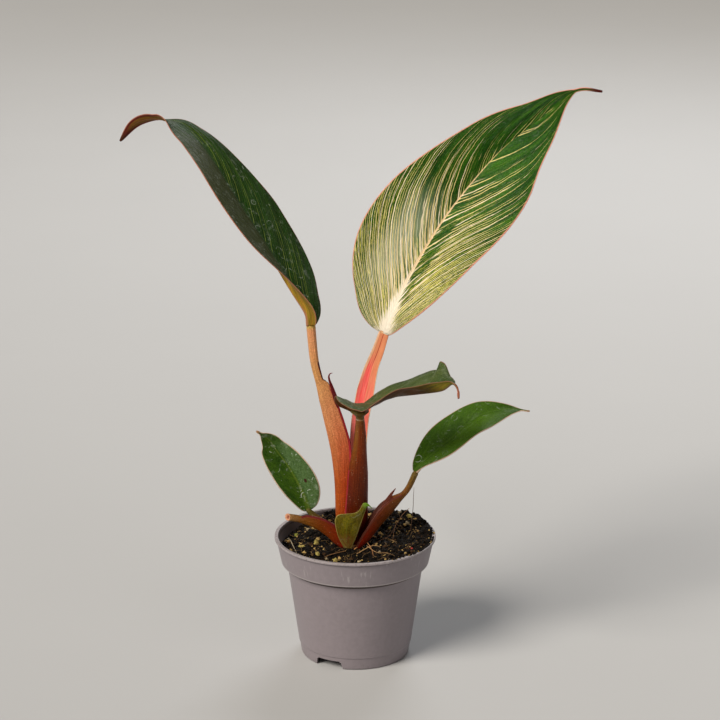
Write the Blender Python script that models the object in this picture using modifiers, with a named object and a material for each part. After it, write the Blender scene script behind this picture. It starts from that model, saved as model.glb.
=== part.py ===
"""A young pin-striped philodendron growing in a small grey nursery pot.

Every length below is in millimetres and is turned into metres as it goes into a mesh.
The pot stands on the XY plane with its axis on Z, and the front of the plant looks along -Y.
"""
import math

import bmesh
import bpy
import numpy as np
from mathutils import Vector, noise

MM = 0.001
GAP = 0.3

# Pot
RIM_RADIUS = 30.0
POT_HEIGHT = 46.0
LIP_DROP = 0.9
LIP_OVERHANG = 0.7
COLLAR_DEPTH = 10.2
COLLAR_TAPER = 1.9
COLLAR_STEP = 2.1
LEDGE = 0.8
EDGE = 0.25
BASE_RADIUS = 20.4
FOOT_HEIGHT = 4.8
FOOT_STEP = 0.25
FLOOR_HEIGHT = 3.4
WALL = 0.9
POT_SIDES = 60
NOTCH_AZIMUTHS = (-119.0, 61.0)
NOTCH_HEIGHT = 3.2
NOTCH_WIDTH = 11.5
NOTCH_FLARE = 1.6
NOTCH_DEPTH = 6.0
DRAIN_RADIUS = 2.5
DRAIN_RING = 11.0
DRAIN_COUNT = 5
DRAIN_SIDES = 20

# Soil
SOIL_LEVEL = 43.0
SOIL_SLOPE = (0.075, 0.02)
SOIL_ROUGHNESS = 1.0
CLOD_SIZE = 4.5
CRUMB_SIZE = 2.0
SOIL_RINGS = 9
SOIL_SIDES = 44
CROWN_DIP = 7.5
CROWN_BANK = 3.0

# Stem and roots
CROWN = (-1.6, -0.8)
STEM_RADIUS = 5.3
STEM_TOP = 43.4
STEM_BOTTOM = 24.0
SHOULDER = 0.7
FOOT_LEVEL = STEM_TOP + GAP
ROOT_RADIUS = 0.75

# Leaves
BLADE_THICKNESS = 0.7
WING_THICKNESS = 0.6
SECTION_POINTS = 8
RING_SPACING = 4.5
RIB_WIDTH = 1.3

# Each petiole runs from its foot on the stem to its joint with the blade. A section is
# (place along the length, half width, depth of the back, depth of the channel, wing lift).
# A negative channel depth is a rounded front.
PETIOLES = {
    "petiole_right_low": {
        "spine": [(0.6, -5.0, FOOT_LEVEL), (3.6, -5.0, 47.4), (7.6, -3.8, 52.4), (11.2, -2.5, 56.3),
                  (15.1, -1.2, 60.0), (19.1, 0.0, 64.0), (22.0, 1.0, 69.5)],
        "face": (-0.75, -0.05, 0.62), "roll": [0, 0, 0],
        "sections": [(0, 2.4, 1.5, 0.3, 0.4), (0.15, 2.9, 2.1, 1.0, 1.8), (0.5, 2.6, 2.1, 1.1, 2.6),
                     (0.66, 1.8, 1.5, 0.6, 2.2), (0.71, 1.2, 1.2, -0.4, 0.1), (1, 1.0, 1.0, -0.7, 0)],
    },
    "cut_petiole": {
        "spine": [(-4.2, -4.4, FOOT_LEVEL), (-8.0, -5.0, 48.3), (-12.3, -5.0, 51.6),
                  (-16.9, -5.0, 53.6), (-20.8, -5.0, 54.4), (-24.9, -5.0, 54.9)],
        "face": (0.45, 0.35, 0.85), "roll": [0, 0, 0],
        "sections": [(0, 2.2, 1.5, 0.3, 0.5), (0.15, 2.7, 2.2, 1.0, 2.4), (0.45, 2.5, 2.1, 0.8, 2.3),
                     (0.72, 1.9, 1.7, 0.2, 1.4), (0.84, 1.3, 1.3, -0.8, 0), (1, 1.15, 1.1, -0.9, 0)],
    },
    "petiole_front": {
        "spine": [(0.2, -1.8, FOOT_LEVEL), (0.3, -2.8, 50.0), (0.6, -3.2, 57.0), (0.9, -3.4, 64.8),
                  (1.2, -3.7, 73.5), (1.8, -4.2, 83.8), (1.9, -4.6, 88.6), (1.8, -5.0, 94.0)],
        "face": (-0.25, 1.0, 0.1), "roll": [0, 0, 0],
        "sections": [(0, 3.0, 1.5, -0.4, 0.2), (0.2, 4.3, 2.1, -0.2, 0.5), (0.55, 3.7, 2.0, -0.4, 0.3),
                     (0.75, 2.5, 1.8, -0.9, 0), (1, 1.55, 1.5, -1.1, 0)],
    },
    "petiole_left_tall": {
        "spine": [(-4.6, 0.6, FOOT_LEVEL), (-4.6, 0.6, 50.0), (-4.5, 0.6, 57.0), (-4.6, 0.7, 65.0),
                  (-5.1, 0.9, 72.5), (-6.3, 1.2, 81.2), (-8.5, 1.8, 90.7), (-11.3, 2.4, 101.0),
                  (-14.2, 3.0, 111.5), (-15.2, 3.5, 118.7), (-15.9, 4.0, 125.6)],
        "face": (1.0, 0.25, 0.1), "roll": [0, 0, 0],
        "sections": [(0, 2.8, 1.7, 0.1, 0.6), (0.15, 3.4, 2.6, 0.8, 1.5), (0.5, 3.1, 3.0, 1.3, 3.0),
                     (0.67, 2.4, 2.4, 0.9, 2.8), (0.74, 1.9, 1.9, 0.5, 1.9), (0.76, 1.75, 1.8, -0.6, 0.2),
                     (1, 1.6, 1.6, -1.2, 0)],
    },
    "petiole_right_tall": {
        "spine": [(-0.6, 2.9, FOOT_LEVEL), (-0.3, 2.7, 52.0), (0.0, 2.8, 61.0), (0.6, 3.0, 71.0),
                  (1.2, 3.5, 81.0), (1.9, 4.0, 89.6), (3.1, 4.6, 96.4), (4.3, 5.1, 102.4),
                  (6.0, 5.5, 109.2), (8.4, 5.8, 115.6), (10.4, 6.0, 121.9)],
        "face": (-0.15, -1.0, 0.2), "roll": [0, 0, 0],
        "sections": [(0, 2.6, 2.0, -0.6, 0.1), (0.2, 3.0, 2.2, 0.4, 0.8), (0.72, 3.1, 2.3, 0.8, 1.2),
                     (0.85, 2.3, 2.0, 0.5, 0.6), (1, 1.8, 1.7, 0.1, 0.1)],
    },
    "petiole_left_low": {
        "spine": [(-5.2, 4.6, FOOT_LEVEL), (-8.4, 4.9, 46.6), (-12.6, 5.4, 49.0), (-17.2, 6.0, 53.0)],
        "face": (0.2, -0.8, 0.6), "roll": [0, 0, 0],
        "sections": [(0, 2.0, 1.1, -0.3, 0.2), (0.3, 1.7, 1.1, -0.3, 0.2), (1, 0.9, 0.9, -0.6, 0)],
    },
}

# Each blade runs from its joint to its tip. Each half's outline is its greatest width and the
# powers by which it swells from the joint and tapers to the tip, and the trim, read at even steps,
# widens or narrows it. The drip tip is the narrow end. The cataphyll is given by its two edges.
BLADES = {
    "blade_right_tall": {
        "spine": [(10.5, 6.0, 122.3), (14.1, 8.0, 131.6), (23.2, 11.0, 149.0), (34.8, 14.0, 167.0),
                  (51.5, 16.0, 187.2), (65.3, 16.0, 198.9), (74.8, 15.5, 207.8), (81.3, 14.5, 211.1),
                  (88.6, 12.5, 210.8)],
        "face": (0, -1, 0.3), "roll": [20, 4, 4], "fold": [12, 20, 24, 20],
        "left": (24.9, 0.62, 1.14), "right": (22.1, 0.87, 1.07), "drip": 0.08,
        "trim": ([0.85, 0.93, 0.96, 0.96, 0.94, 0.90, 0.87, 0.88, 0.95, 1.08, 1.2],
                 [1, 0.91, 0.88, 0.91, 0.97, 1.03, 1.05, 1.05, 1.05, 0.95, 0.9]),
        "neck": 0.9, "tail": 1.1, "ripple": 0.9, "waves": 2.6, "rib": 1.7, "rows": 28, "columns": 10,
    },
    "blade_left_tall": {
        "spine": [(-16.0, 4.0, 125.9), (-17.0, 5.0, 131.0), (-22.7, 9.0, 139.0), (-32.9, 17.0, 153.9),
                  (-43.1, 24.0, 168.3), (-53.3, 31.0, 183.3), (-60.8, 33.8, 191.0), (-69.0, 36.0, 195.3),
                  (-75.9, 37.0, 196.0), (-81.8, 37.0, 193.6), (-87.2, 36.5, 187.2)],
        "face": (0, -1, 0.3), "roll": [-72, -61, -45], "fold": [18, 12, 10, 5],
        "left": (18.0, 0.68, 1.2), "right": (19.0, 0.85, 1.4), "drip": 0.16,
        "trim": ([0.9, 0.9, 1, 1, 1, 1, 1, 1], [0.68, 0.88, 0.94, 0.95, 0.95, 0.95, 0.96, 1.0]),
        "fold_left": [48, 31, 15, 12, 10, 8, 6, 5],
        "neck": 0.8, "tail": 3.0, "ripple": 0.7, "waves": 2.2, "rib": 1.6, "rows": 28, "columns": 10,
    },
    "blade_front": {
        "spine": [(1.8, -5.0, 94.4), (2.2, -5.6, 96.4), (4.4, -8.0, 98.5), (8.0, -11.0, 101.7),
                  (12.3, -14.5, 105.0), (21.7, -24.5, 109.3), (30.4, -34.5, 113.7), (34.0, -38.2, 117.2),
                  (35.9, -40.0, 115.9), (36.3, -40.5, 112.4)],
        "face": (0, 0.2, 1), "roll": [-11, -18, -23, -22, -13, -4, 12, 20],
        "fold": [53, 25, 6, 13, 25, 26, 40, 45],
        "left": (11.2, 1.09, 0.82), "right": (13.7, 0.34, 0.97), "drip": 0.1, "ear": (-1, 0.65, 3.8, 0.05),
        "neck": 0.7, "tail": 0.6, "ripple": 0.3, "waves": 2.5, "rib": 0.8, "rows": 26, "columns": 8,
    },
    "blade_right_low": {
        "spine": [(22.1, 1.0, 70.5), (25.6, 3.0, 73.9), (34.1, 6.0, 80.3), (42.6, 9.0, 87.2),
                  (48.5, 10.0, 90.3), (57.0, 10.0, 92.0), (64.7, 9.0, 91.4)],
        "face": (0, -1, 0.3), "roll": [53, 49, 43], "fold": [14, 14, 14, 10],
        "left": (8.6, 0.93, 1.5), "right": (11.2, 1.05, 1.0), "drip": 0.06,
        "neck": 0.4, "tail": 0.5, "ripple": 0.4, "waves": 2, "rib": 1.1, "rows": 20, "columns": 8,
    },
    "blade_left_low": {
        "spine": [(-17.2, 6.0, 53.4), (-19.9, 8.0, 60.2), (-24.7, 10.0, 68.9), (-29.5, 11.0, 75.5),
                  (-32.1, 11.0, 79.4), (-36.7, 10.0, 83.2)],
        "face": (0, -1, 0.3), "roll": [0, 5, 0], "fold": [12, 20, 20, 10],
        "left": (7.1, 0.7, 0.8), "right": (7.2, 0.62, 0.95), "drip": 0.06,
        "trim": ([0.88, 0.86, 0.88, 0.93, 0.98, 1.0, 1.0], [1.0, 1.0, 0.96, 0.93, 0.93, 0.95, 1.0]),
        "neck": 0.3, "tail": 0.9, "ripple": 0.3, "waves": 2, "rib": 1.0, "rows": 16, "columns": 8,
    },
    "cataphyll": {
        "edges": ([(-3.9, -8.3, 43.6), (-6.0, -9.3, 48.1), (-7.1, -9.7, 52.5), (-7.3, -9.5, 55.4),
                   (-6.1, -9.5, 57.3), (-3.3, -9.7, 57.8), (-0.8, -10.0, 58.1), (1.2, -10.1, 59.0),
                   (2.4, -10.1, 60.8), (3.1, -10.0, 62.0), (4.7, -9.6, 61.8), (6.2, -9.1, 59.9)],
                  [(-1.5, -8.3, 43.6), (0.1, -9.5, 47.9), (1.6, -9.9, 52.5), (2.9, -10.0, 56.5),
                   (3.6, -10.0, 58.7), (4.2, -9.8, 60.3), (5.1, -9.5, 60.7), (6.2, -9.1, 59.6)]),
        "bulge": 0.5,
        "rib": 0.5, "rows": 16, "columns": 8,
    },
}

# Roots leave the stem and run down through the soil.
ROOTS = [
    [(-3.5, 0.5, 33), (-9.0, 3.0, 27), (-14.5, 5.0, 20), (-16.5, 4.0, 12)],
    [(0.5, 0.5, 32), (5.0, 5.0, 26), (9.0, 10.0, 19), (8.5, 14.0, 11)],
    [(-1.5, -2.5, 31), (-3.0, -8.0, 25), (-7.0, -13.0, 18), (-6.0, -15.0, 10)],
    [(0.5, -2.0, 30), (6.0, -6.0, 23), (12.0, -8.0, 16), (14.0, -6.0, 9)],
    [(-1.6, -0.8, 27), (-1.0, 1.0, 20), (1.5, 1.5, 14), (0.5, -1.0, 8)],
]

COLOURS = {
    "nursery_pot": ((0.25, 0.235, 0.235), 0.5),
    "potting_soil": ((0.02, 0.014, 0.01), 0.95),
    "stem_and_roots": ((0.30, 0.13, 0.05), 0.7),
    "cut_petiole": ((0.22, 0.09, 0.03), 0.45),
    "petiole_right_low": ((0.25, 0.08, 0.03), 0.4),
    "petiole_front": ((0.13, 0.03, 0.015), 0.4),
    "petiole_left_tall": ((0.42, 0.14, 0.05), 0.4),
    "petiole_right_tall": ((0.70, 0.13, 0.07), 0.4),
    "petiole_left_low": ((0.25, 0.10, 0.03), 0.4),
    "blade_right_tall": ((0.30, 0.40, 0.16), 0.35),
    "blade_left_tall": ((0.03, 0.10, 0.035), 0.3),
    "blade_front": ((0.06, 0.13, 0.04), 0.35),
    "blade_right_low": ((0.03, 0.12, 0.02), 0.3),
    "blade_left_low": ((0.04, 0.13, 0.035), 0.3),
    "cataphyll": ((0.14, 0.17, 0.03), 0.4),
}


def smooth_path(points, count):
    """Evenly spaced points on a Catmull-Rom curve through the given points."""
    p = np.array(points, float)
    p = np.vstack([2 * p[0] - p[1], p, 2 * p[-1] - p[-2]])
    t = np.linspace(0, 1, 24, endpoint=False)[:, None]
    runs = []
    for a, b, c, d in zip(p, p[1:], p[2:], p[3:]):
        curve = 2 * b + (c - a) * t + (2 * a - 5 * b + 4 * c - d) * t**2
        runs.append(0.5 * (curve + (3 * b - a - 3 * c + d) * t**3))
    path = np.vstack(runs + [p[-2:-1]])
    run = np.r_[0, np.cumsum(np.linalg.norm(np.diff(path, axis=0), axis=1))]
    even = np.linspace(0, run[-1], count)
    return np.column_stack([np.interp(even, run, path[:, k]) for k in range(3)])


def unit(vectors):
    """The vectors at length one."""
    return vectors / np.linalg.norm(vectors, axis=-1, keepdims=True)


def keyed(values, s):
    """Values given at even steps, read at the places s from 0 to 1."""
    return np.interp(s, np.linspace(0, 1, len(values)), values)


def frames(path, face, roll):
    """Tangent, side and facing direction at each point of a path, rolled by degrees."""
    tangent = unit(np.gradient(path, axis=0))
    side = unit(np.cross(tangent, np.array(face, float)))
    facing = np.cross(side, tangent)
    turn = np.radians(roll)[:, None]
    rolled_side = side * np.cos(turn) + facing * np.sin(turn)
    rolled_facing = facing * np.cos(turn) - side * np.sin(turn)
    return tangent, rolled_side, rolled_facing


def outline(s, half, swell, taper):
    """Half width of a blade that swells from its joint and tapers to its tip."""
    peak = swell / (swell + taper)
    return half * (s / peak) ** swell * ((1 - s) / (1 - peak)) ** taper


def blade_surface(leaf, s, t):
    """Points of a blade's upper face at s from joint to tip and t from left to right."""
    if "edges" in leaf:
        left, right = (smooth_path(route, len(s))[:, None] for route in leaf["edges"])
        share = (1 + t[None, :, None]) / 2
        bulge = leaf["bulge"] * (1 - t**2)[None, :] * np.sin(math.pi * s)[:, None]
        return left * (1 - share) + right * share - bulge[..., None] * np.array([0, 1, 0])
    path = smooth_path(leaf["spine"], len(s))
    _, side, facing = frames(path, leaf["face"], keyed(leaf["roll"], s))
    main = np.clip(s / (1 - leaf["drip"]), 0, 1)
    strip = leaf["neck"] * np.clip(1 - 12 * s, 0, 1) + leaf["tail"] * np.sqrt(1 - s) + 0.25
    left_trim, right_trim = leaf.get("trim", ([1], [1]))
    left = (outline(main, *leaf["left"]) * keyed(left_trim, s))[:, None]
    right = (outline(main, *leaf["right"]) * keyed(right_trim, s))[:, None]
    on_left = t[None, :] < 0
    half = np.where(on_left, left, right) + strip[:, None]
    fold_left = leaf.get("fold_left", leaf["fold"])
    fold = np.where(on_left, keyed(fold_left, s)[:, None], keyed(leaf["fold"], s)[:, None])
    fold = np.radians(fold)
    out = np.abs(t)[None, :]
    lift = half * np.sin(fold) * out * (1.35 - 0.35 * out)
    phase = 2 * math.pi * leaf["waves"] * s[:, None] + 1.7 * t[None, :]
    lift = lift + leaf["ripple"] * out**3 * np.sin(math.pi * s)[:, None] * np.sin(phase)
    if "ear" in leaf:
        half_with_ear, place, height, length = leaf["ear"]
        bump = height * np.exp(-(((s - place) / length) ** 2))[:, None]
        lift = lift + bump * np.clip(half_with_ear * t, 0, 1)[None, :] ** 3
    across = half * t[None, :] * np.cos(fold)
    return path[:, None] + side[:, None] * across[..., None] + facing[:, None] * lift[..., None]


def new_object(name, mesh, collection, location=(0, 0, 0)):
    """An object for a mesh, placed in a collection."""
    obj = bpy.data.objects.new(name, mesh)
    obj.location = Vector(location) * MM
    collection.objects.link(obj)
    return obj


def adopt(obj, name, collection):
    """Renames an object that a primitive made and moves it to its collection."""
    obj.name = name
    obj.data.name = name
    for owner in obj.users_collection:
        owner.objects.unlink(obj)
    collection.objects.link(obj)
    return obj


def paint(obj):
    """Gives a piece its own Principled material."""
    colour, roughness = COLOURS[obj.name]
    material = bpy.data.materials.new(obj.name)
    material.use_nodes = True
    shader = material.node_tree.nodes["Principled BSDF"]
    shader.inputs["Base Color"].default_value = (*colour, 1)
    shader.inputs["Roughness"].default_value = roughness
    shader.inputs["Metallic"].default_value = 0
    obj.data.materials.clear()
    obj.data.materials.append(material)
    return obj


def cut(obj, cutter, operation="DIFFERENCE"):
    """Adds a Boolean modifier and turns its operand into a wire guide."""
    modifier = obj.modifiers.new(cutter.name, "BOOLEAN")
    modifier.operation = operation
    modifier.solver = "EXACT"
    modifier.object = cutter
    cutter.display_type = "WIRE"
    cutter.hide_render = True


def baked(obj):
    """A plain mesh of an object as its modifiers leave it."""
    graph = bpy.context.evaluated_depsgraph_get()
    return bpy.data.meshes.new_from_object(obj.evaluated_get(graph))


def turned(name, profile, sides, collection):
    """A solid turned about Z from a profile of (radius, height) points."""
    mesh = bpy.data.meshes.new(name)
    points = [(radius * MM, 0, height * MM) for radius, height in profile]
    mesh.from_pydata(points, [(i, i + 1) for i in range(len(points) - 1)], [])
    obj = new_object(name, mesh, collection)
    screw = obj.modifiers.new("turn", "SCREW")
    screw.steps = sides
    screw.render_steps = sides
    screw.use_merge_vertices = True
    screw.merge_threshold = 0.00001
    return obj


def pot_radius(height):
    """Outer radius of the pot's body between its foot and its collar."""
    body_top = POT_HEIGHT - COLLAR_DEPTH
    top = RIM_RADIUS - LIP_OVERHANG - COLLAR_TAPER - COLLAR_STEP
    return BASE_RADIUS + (top - BASE_RADIUS) * height / body_top


def well_radius(height):
    """Inner radius of the pot's collar at a height."""
    low = POT_HEIGHT - COLLAR_DEPTH + WALL
    high = POT_HEIGHT - LIP_DROP
    rise = (height - low) / (high - low)
    return RIM_RADIUS - LIP_OVERHANG - WALL - COLLAR_TAPER * (1 - rise)


def make_pot(parts, cutters):
    """The turned pot shell, with notches in its foot and drain holes in its floor."""
    collar_top = RIM_RADIUS - LIP_OVERHANG
    collar_low = collar_top - COLLAR_TAPER
    body_top = POT_HEIGHT - COLLAR_DEPTH
    outside = [
        (RIM_RADIUS - EDGE, POT_HEIGHT),
        (RIM_RADIUS, POT_HEIGHT - EDGE),
        (RIM_RADIUS, POT_HEIGHT - LIP_DROP),
        (collar_top, POT_HEIGHT - LIP_DROP - EDGE),
        (collar_low + EDGE / 2, body_top + 3 * EDGE),
        (collar_low - EDGE, body_top),
        (pot_radius(body_top) + 2 * EDGE, body_top - EDGE),
        (pot_radius(body_top), body_top - LEDGE),
        (pot_radius(FOOT_HEIGHT), FOOT_HEIGHT),
        (pot_radius(FOOT_HEIGHT) - FOOT_STEP, FOOT_HEIGHT - FOOT_STEP),
        (BASE_RADIUS - FOOT_STEP, 0),
    ]
    inside = [
        (BASE_RADIUS - FOOT_STEP - WALL, 0),
        (pot_radius(FLOOR_HEIGHT) - FOOT_STEP - WALL, FLOOR_HEIGHT),
        (0, FLOOR_HEIGHT),
    ]
    well = [
        (0, FLOOR_HEIGHT + WALL),
        (pot_radius(FLOOR_HEIGHT) - WALL - LEDGE, FLOOR_HEIGHT + WALL),
        (pot_radius(FLOOR_HEIGHT) - WALL, FLOOR_HEIGHT + WALL + LEDGE),
        (pot_radius(body_top) - WALL, body_top - LEDGE + WALL),
        (collar_low - WALL, body_top + WALL),
        (collar_top - WALL, POT_HEIGHT - LIP_DROP),
        (RIM_RADIUS - EDGE - WALL, POT_HEIGHT),
    ]
    pot = turned("nursery_pot", well + outside + inside, POT_SIDES, parts)
    for index, azimuth in enumerate(NOTCH_AZIMUTHS):
        cut(pot, make_notch(index, azimuth, cutters))
    for index in range(DRAIN_COUNT):
        angle = math.radians(NOTCH_AZIMUTHS[0] + (index + 0.5) * 360 / DRAIN_COUNT)
        bpy.ops.mesh.primitive_cylinder_add(
            vertices=DRAIN_SIDES, radius=DRAIN_RADIUS * MM, depth=4 * WALL * MM,
            location=(DRAIN_RING * math.cos(angle) * MM, DRAIN_RING * math.sin(angle) * MM,
                      FLOOR_HEIGHT * MM))
        cut(pot, adopt(bpy.context.object, f"drain_{index}", cutters))
    return pot


def make_notch(index, azimuth, cutters):
    """A cutter for one notch of the foot, wider at the bottom than at the top."""
    bm = bmesh.new()
    bmesh.ops.create_cube(bm, size=1)
    for vertex in bm.verts:
        x, y, z = vertex.co
        width = NOTCH_WIDTH - NOTCH_FLARE * (z > 0)
        height = NOTCH_HEIGHT if z > 0 else -WALL
        vertex.co = Vector((BASE_RADIUS + x * NOTCH_DEPTH, y * width, height)) * MM
    mesh = bpy.data.meshes.new(f"notch_{index}")
    bm.to_mesh(mesh)
    bm.free()
    cutter = new_object(f"notch_{index}", mesh, cutters)
    cutter.rotation_euler.z = math.radians(azimuth)
    return cutter


def soil_height(x, y):
    """Height of the crumbly soil surface, which dips around the crown."""
    level = SOIL_LEVEL + SOIL_SLOPE[0] * x + SOIL_SLOPE[1] * y
    place = Vector((x, y, 0))
    bumps = noise.noise(place / CLOD_SIZE) + noise.noise(place / CRUMB_SIZE) / 2
    height = level + SOIL_ROUGHNESS * bumps
    near = math.hypot(x - CROWN[0], y - CROWN[1]) / CROWN_DIP
    limit = STEM_TOP - SHOULDER + CROWN_BANK * max(0.0, near - 1)
    return min(height, limit)


def make_soil(parts, cutters, stem_cutter):
    """The soil that fills the pot, with a hole for the stem and its roots."""
    body_top = POT_HEIGHT - COLLAR_DEPTH
    clear = WALL + GAP + 0.1
    collar_low = RIM_RADIUS - LIP_OVERHANG - COLLAR_TAPER
    brim = well_radius(SOIL_LEVEL)
    floor = FLOOR_HEIGHT + WALL + GAP
    rings = [(brim * k / SOIL_RINGS, SOIL_LEVEL) for k in range(SOIL_RINGS + 1)]
    sides = [
        (collar_low - clear, body_top + clear),
        (pot_radius(body_top) - clear, body_top - LEDGE + clear),
        (pot_radius(floor + 1.0) - clear, floor + 1.0),
        (pot_radius(floor) - clear - 1.0, floor),
        (0, floor),
    ]
    blank = turned("soil_blank", rings + sides, SOIL_SIDES, cutters)
    soil = new_object("potting_soil", baked(blank), parts)
    bpy.data.objects.remove(blank)
    for vertex in soil.data.vertices:
        if vertex.co.z > (SOIL_LEVEL - 0.01) * MM:
            x, y, _ = vertex.co / MM
            height = soil_height(x, y)
            fit = (well_radius(height) - GAP - 0.1) / brim
            vertex.co = Vector((x * fit, y * fit, height)) * MM
    cut(soil, stem_cutter)
    return soil


def tube(name, points, radius, collection):
    """A round tube through the points, as a closed mesh."""
    path = smooth_path(points, 9)
    curve = bpy.data.curves.new(name, "CURVE")
    curve.dimensions = "3D"
    curve.bevel_depth = radius * MM
    curve.bevel_resolution = 1
    curve.use_fill_caps = True
    spline = curve.splines.new("POLY")
    spline.points.add(len(path) - 1)
    for place, point in enumerate(path):
        spline.points[place].co = (*(point * MM), 1)
        spline.points[place].radius = 1.15 - 0.5 * place / len(path)
    draft = new_object(name + "_draft", curve, collection)
    bpy.context.view_layer.update()
    mesh = baked(draft)
    bpy.data.objects.remove(draft)
    bm = bmesh.new()
    bm.from_mesh(mesh)
    bmesh.ops.remove_doubles(bm, verts=bm.verts, dist=0.000001)
    bm.to_mesh(mesh)
    bm.free()
    return new_object(name, mesh, collection)


def make_stem(name, grow, collection, cutters):
    """The short stem in the soil with its roots joined to it; grow makes it fatter all over."""
    profile = [
        (0, STEM_TOP + grow),
        (STEM_RADIUS - SHOULDER / 2 + grow, STEM_TOP + grow),
        (STEM_RADIUS + grow, STEM_TOP - SHOULDER),
        (0.78 * STEM_RADIUS + grow, 0.6 * STEM_TOP + 0.4 * STEM_BOTTOM),
        (0.6 * STEM_RADIUS + grow, 0.3 * STEM_TOP + 0.7 * STEM_BOTTOM),
        (0.4 * STEM_RADIUS + grow, STEM_BOTTOM + SHOULDER - grow),
        (0, STEM_BOTTOM - grow),
    ]
    stem = turned(name, profile, 24, collection)
    stem.location = Vector((*CROWN, 0)) * MM
    for index, route in enumerate(ROOTS):
        root = tube(f"{name}_root_{index}", route, ROOT_RADIUS + grow, cutters)
        cut(stem, root, "UNION")
    return stem


def grown(sections, distance):
    """Closed sections with every side moved outwards by a distance."""
    side = np.roll(sections, -1, axis=1) - sections
    normal = unit(np.stack([-side[..., 1], side[..., 0]], axis=-1))
    before = np.roll(normal, 1, axis=1)
    meet = 1 + np.sum(before * normal, axis=-1, keepdims=True)
    return sections + distance * (before + normal) / np.maximum(meet, 0.4)


def petiole_sections(petiole, rings, grow):
    """Rings of points of a petiole, from its foot to its joint."""
    s = np.linspace(0, 1, rings)
    path = smooth_path(petiole["spine"], rings)
    tangent, side, facing = frames(path, petiole["face"], keyed(petiole["roll"], s))
    path[-1] += tangent[-1] * grow
    keys = np.array(petiole["sections"])
    half, back, channel, lift = (np.interp(s, keys[:, 0], keys[:, k])[:, None] for k in (1, 2, 3, 4))
    angle = np.linspace(0, math.pi, SECTION_POINTS)[None, :]
    wings = lift * np.cos(angle) ** 2
    across = half * np.cos(angle)
    outer = wings - back * np.sin(angle) - WING_THICKNESS / 2
    inner = wings - channel * np.sin(angle) + WING_THICKNESS / 2
    sections = np.stack([np.hstack([across, across[:, ::-1]]), np.hstack([outer, inner[:, ::-1]])], axis=-1)
    sections = grown(sections, grow)
    points = path[:, None] + side[:, None] * sections[..., :1] + facing[:, None] * sections[..., 1:]
    below = (FOOT_LEVEL - grow - points[0, :, 2]) / tangent[0, 2]
    points[0] += below[:, None] * tangent[0]
    return points


def make_petiole(name, petiole, collection, grow=0.0):
    """A leaf stalk: a loft from a winged, channelled sheath to a nearly round stalk."""
    spine = petiole["spine"]
    length = sum(math.dist(a, b) for a, b in zip(spine, spine[1:]))
    rings = petiole_sections(petiole, 6 + int(length / RING_SPACING), grow)
    origin = np.array(spine[0])
    bm = bmesh.new()
    loops = [[bm.verts.new((point - origin) * MM) for point in ring] for ring in rings]
    for low, high in zip(loops, loops[1:]):
        for i in range(len(low)):
            j = (i + 1) % len(low)
            bm.faces.new((low[i], low[j], high[j], high[i]))
    bm.faces.new(loops[0][::-1])
    bm.faces.new(loops[-1])
    bmesh.ops.recalc_face_normals(bm, faces=bm.faces)
    bmesh.ops.triangulate(bm, faces=bm.faces)
    mesh = bpy.data.meshes.new(name)
    bm.to_mesh(mesh)
    bm.free()
    return new_object(name, mesh, collection, spine[0])


def make_petioles(parts, cutters):
    """Petioles nested around the crown, each cut clear of those outside it."""
    outer = []
    for name, petiole in PETIOLES.items():
        piece = make_petiole(name, petiole, parts)
        for cutter in outer:
            cut(piece, cutter)
        outer.append(make_petiole(name + "_clear", petiole, cutters, GAP))
    for cutter in outer:
        cutter.display_type = "WIRE"
        cutter.hide_render = True


def make_blade(name, leaf, parts):
    """A leaf blade: a shaped grid with a thicker midrib on its underside."""
    rows, columns = leaf["rows"], leaf["columns"]
    bpy.ops.mesh.primitive_grid_add(x_subdivisions=columns, y_subdivisions=rows, size=2)
    blade = adopt(bpy.context.object, name, parts)
    across = np.linspace(-1, 1, columns + 1)
    t = np.sign(across) * np.abs(across) ** 1.3
    s = np.linspace(0, 1, rows + 1)
    surface = blade_surface(leaf, s, t)
    origin = surface[0, columns // 2]
    rib = blade.vertex_groups.new(name="rib")
    thickest = BLADE_THICKNESS + leaf["rib"]
    for vertex in blade.data.vertices:
        column = round((vertex.co.x + 1) / 2 * columns)
        row = round((vertex.co.y + 1) / 2 * rows)
        point = surface[row, column]
        from_rib = np.linalg.norm(point - surface[row, columns // 2])
        ridge = leaf["rib"] * (1 - s[row]) * math.exp(-(from_rib / RIB_WIDTH) ** 2)
        rib.add([vertex.index], (BLADE_THICKNESS + ridge) / thickest, "REPLACE")
        vertex.co = Vector((point - origin) * MM)
    blade.location = Vector(origin * MM)
    blade.modifiers.new("split", "TRIANGULATE")
    shell = blade.modifiers.new("thickness", "SOLIDIFY")
    shell.thickness = thickest * MM
    shell.offset = -1
    shell.vertex_group = "rib"
    return blade


def main():
    """Builds every piece and stands them on one empty on the pot's axis."""
    for obj in list(bpy.data.objects):
        bpy.data.objects.remove(obj)
    parts = bpy.data.collections.new("potted_philodendron")
    cutters = bpy.data.collections.new("cutters")
    bpy.context.scene.collection.children.link(parts)
    bpy.context.scene.collection.children.link(cutters)

    make_pot(parts, cutters)
    make_stem("stem_and_roots", 0.0, parts, cutters)
    stem_clear = make_stem("stem_clear", GAP, cutters, cutters)
    make_soil(parts, cutters, stem_clear)
    make_petioles(parts, cutters)
    for name, leaf in BLADES.items():
        make_blade(name, leaf, parts)

    stand = bpy.data.objects.new("pot_axis", None)
    parts.objects.link(stand)
    for obj in parts.objects:
        if obj.type == "MESH":
            paint(obj)
            obj.data.shade_smooth()
            obj.parent = stand


main()
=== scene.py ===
"""Looks of the potted philodendron: finer leaves, stalks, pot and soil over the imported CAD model.

Lengths in the tables are in millimetres and become metres as they go into a mesh.
"""
import math
import random

import bmesh
import bpy
import numpy as np
from bpy.props import FloatProperty, FloatVectorProperty, IntProperty, PointerProperty
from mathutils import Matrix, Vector, noise


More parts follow.
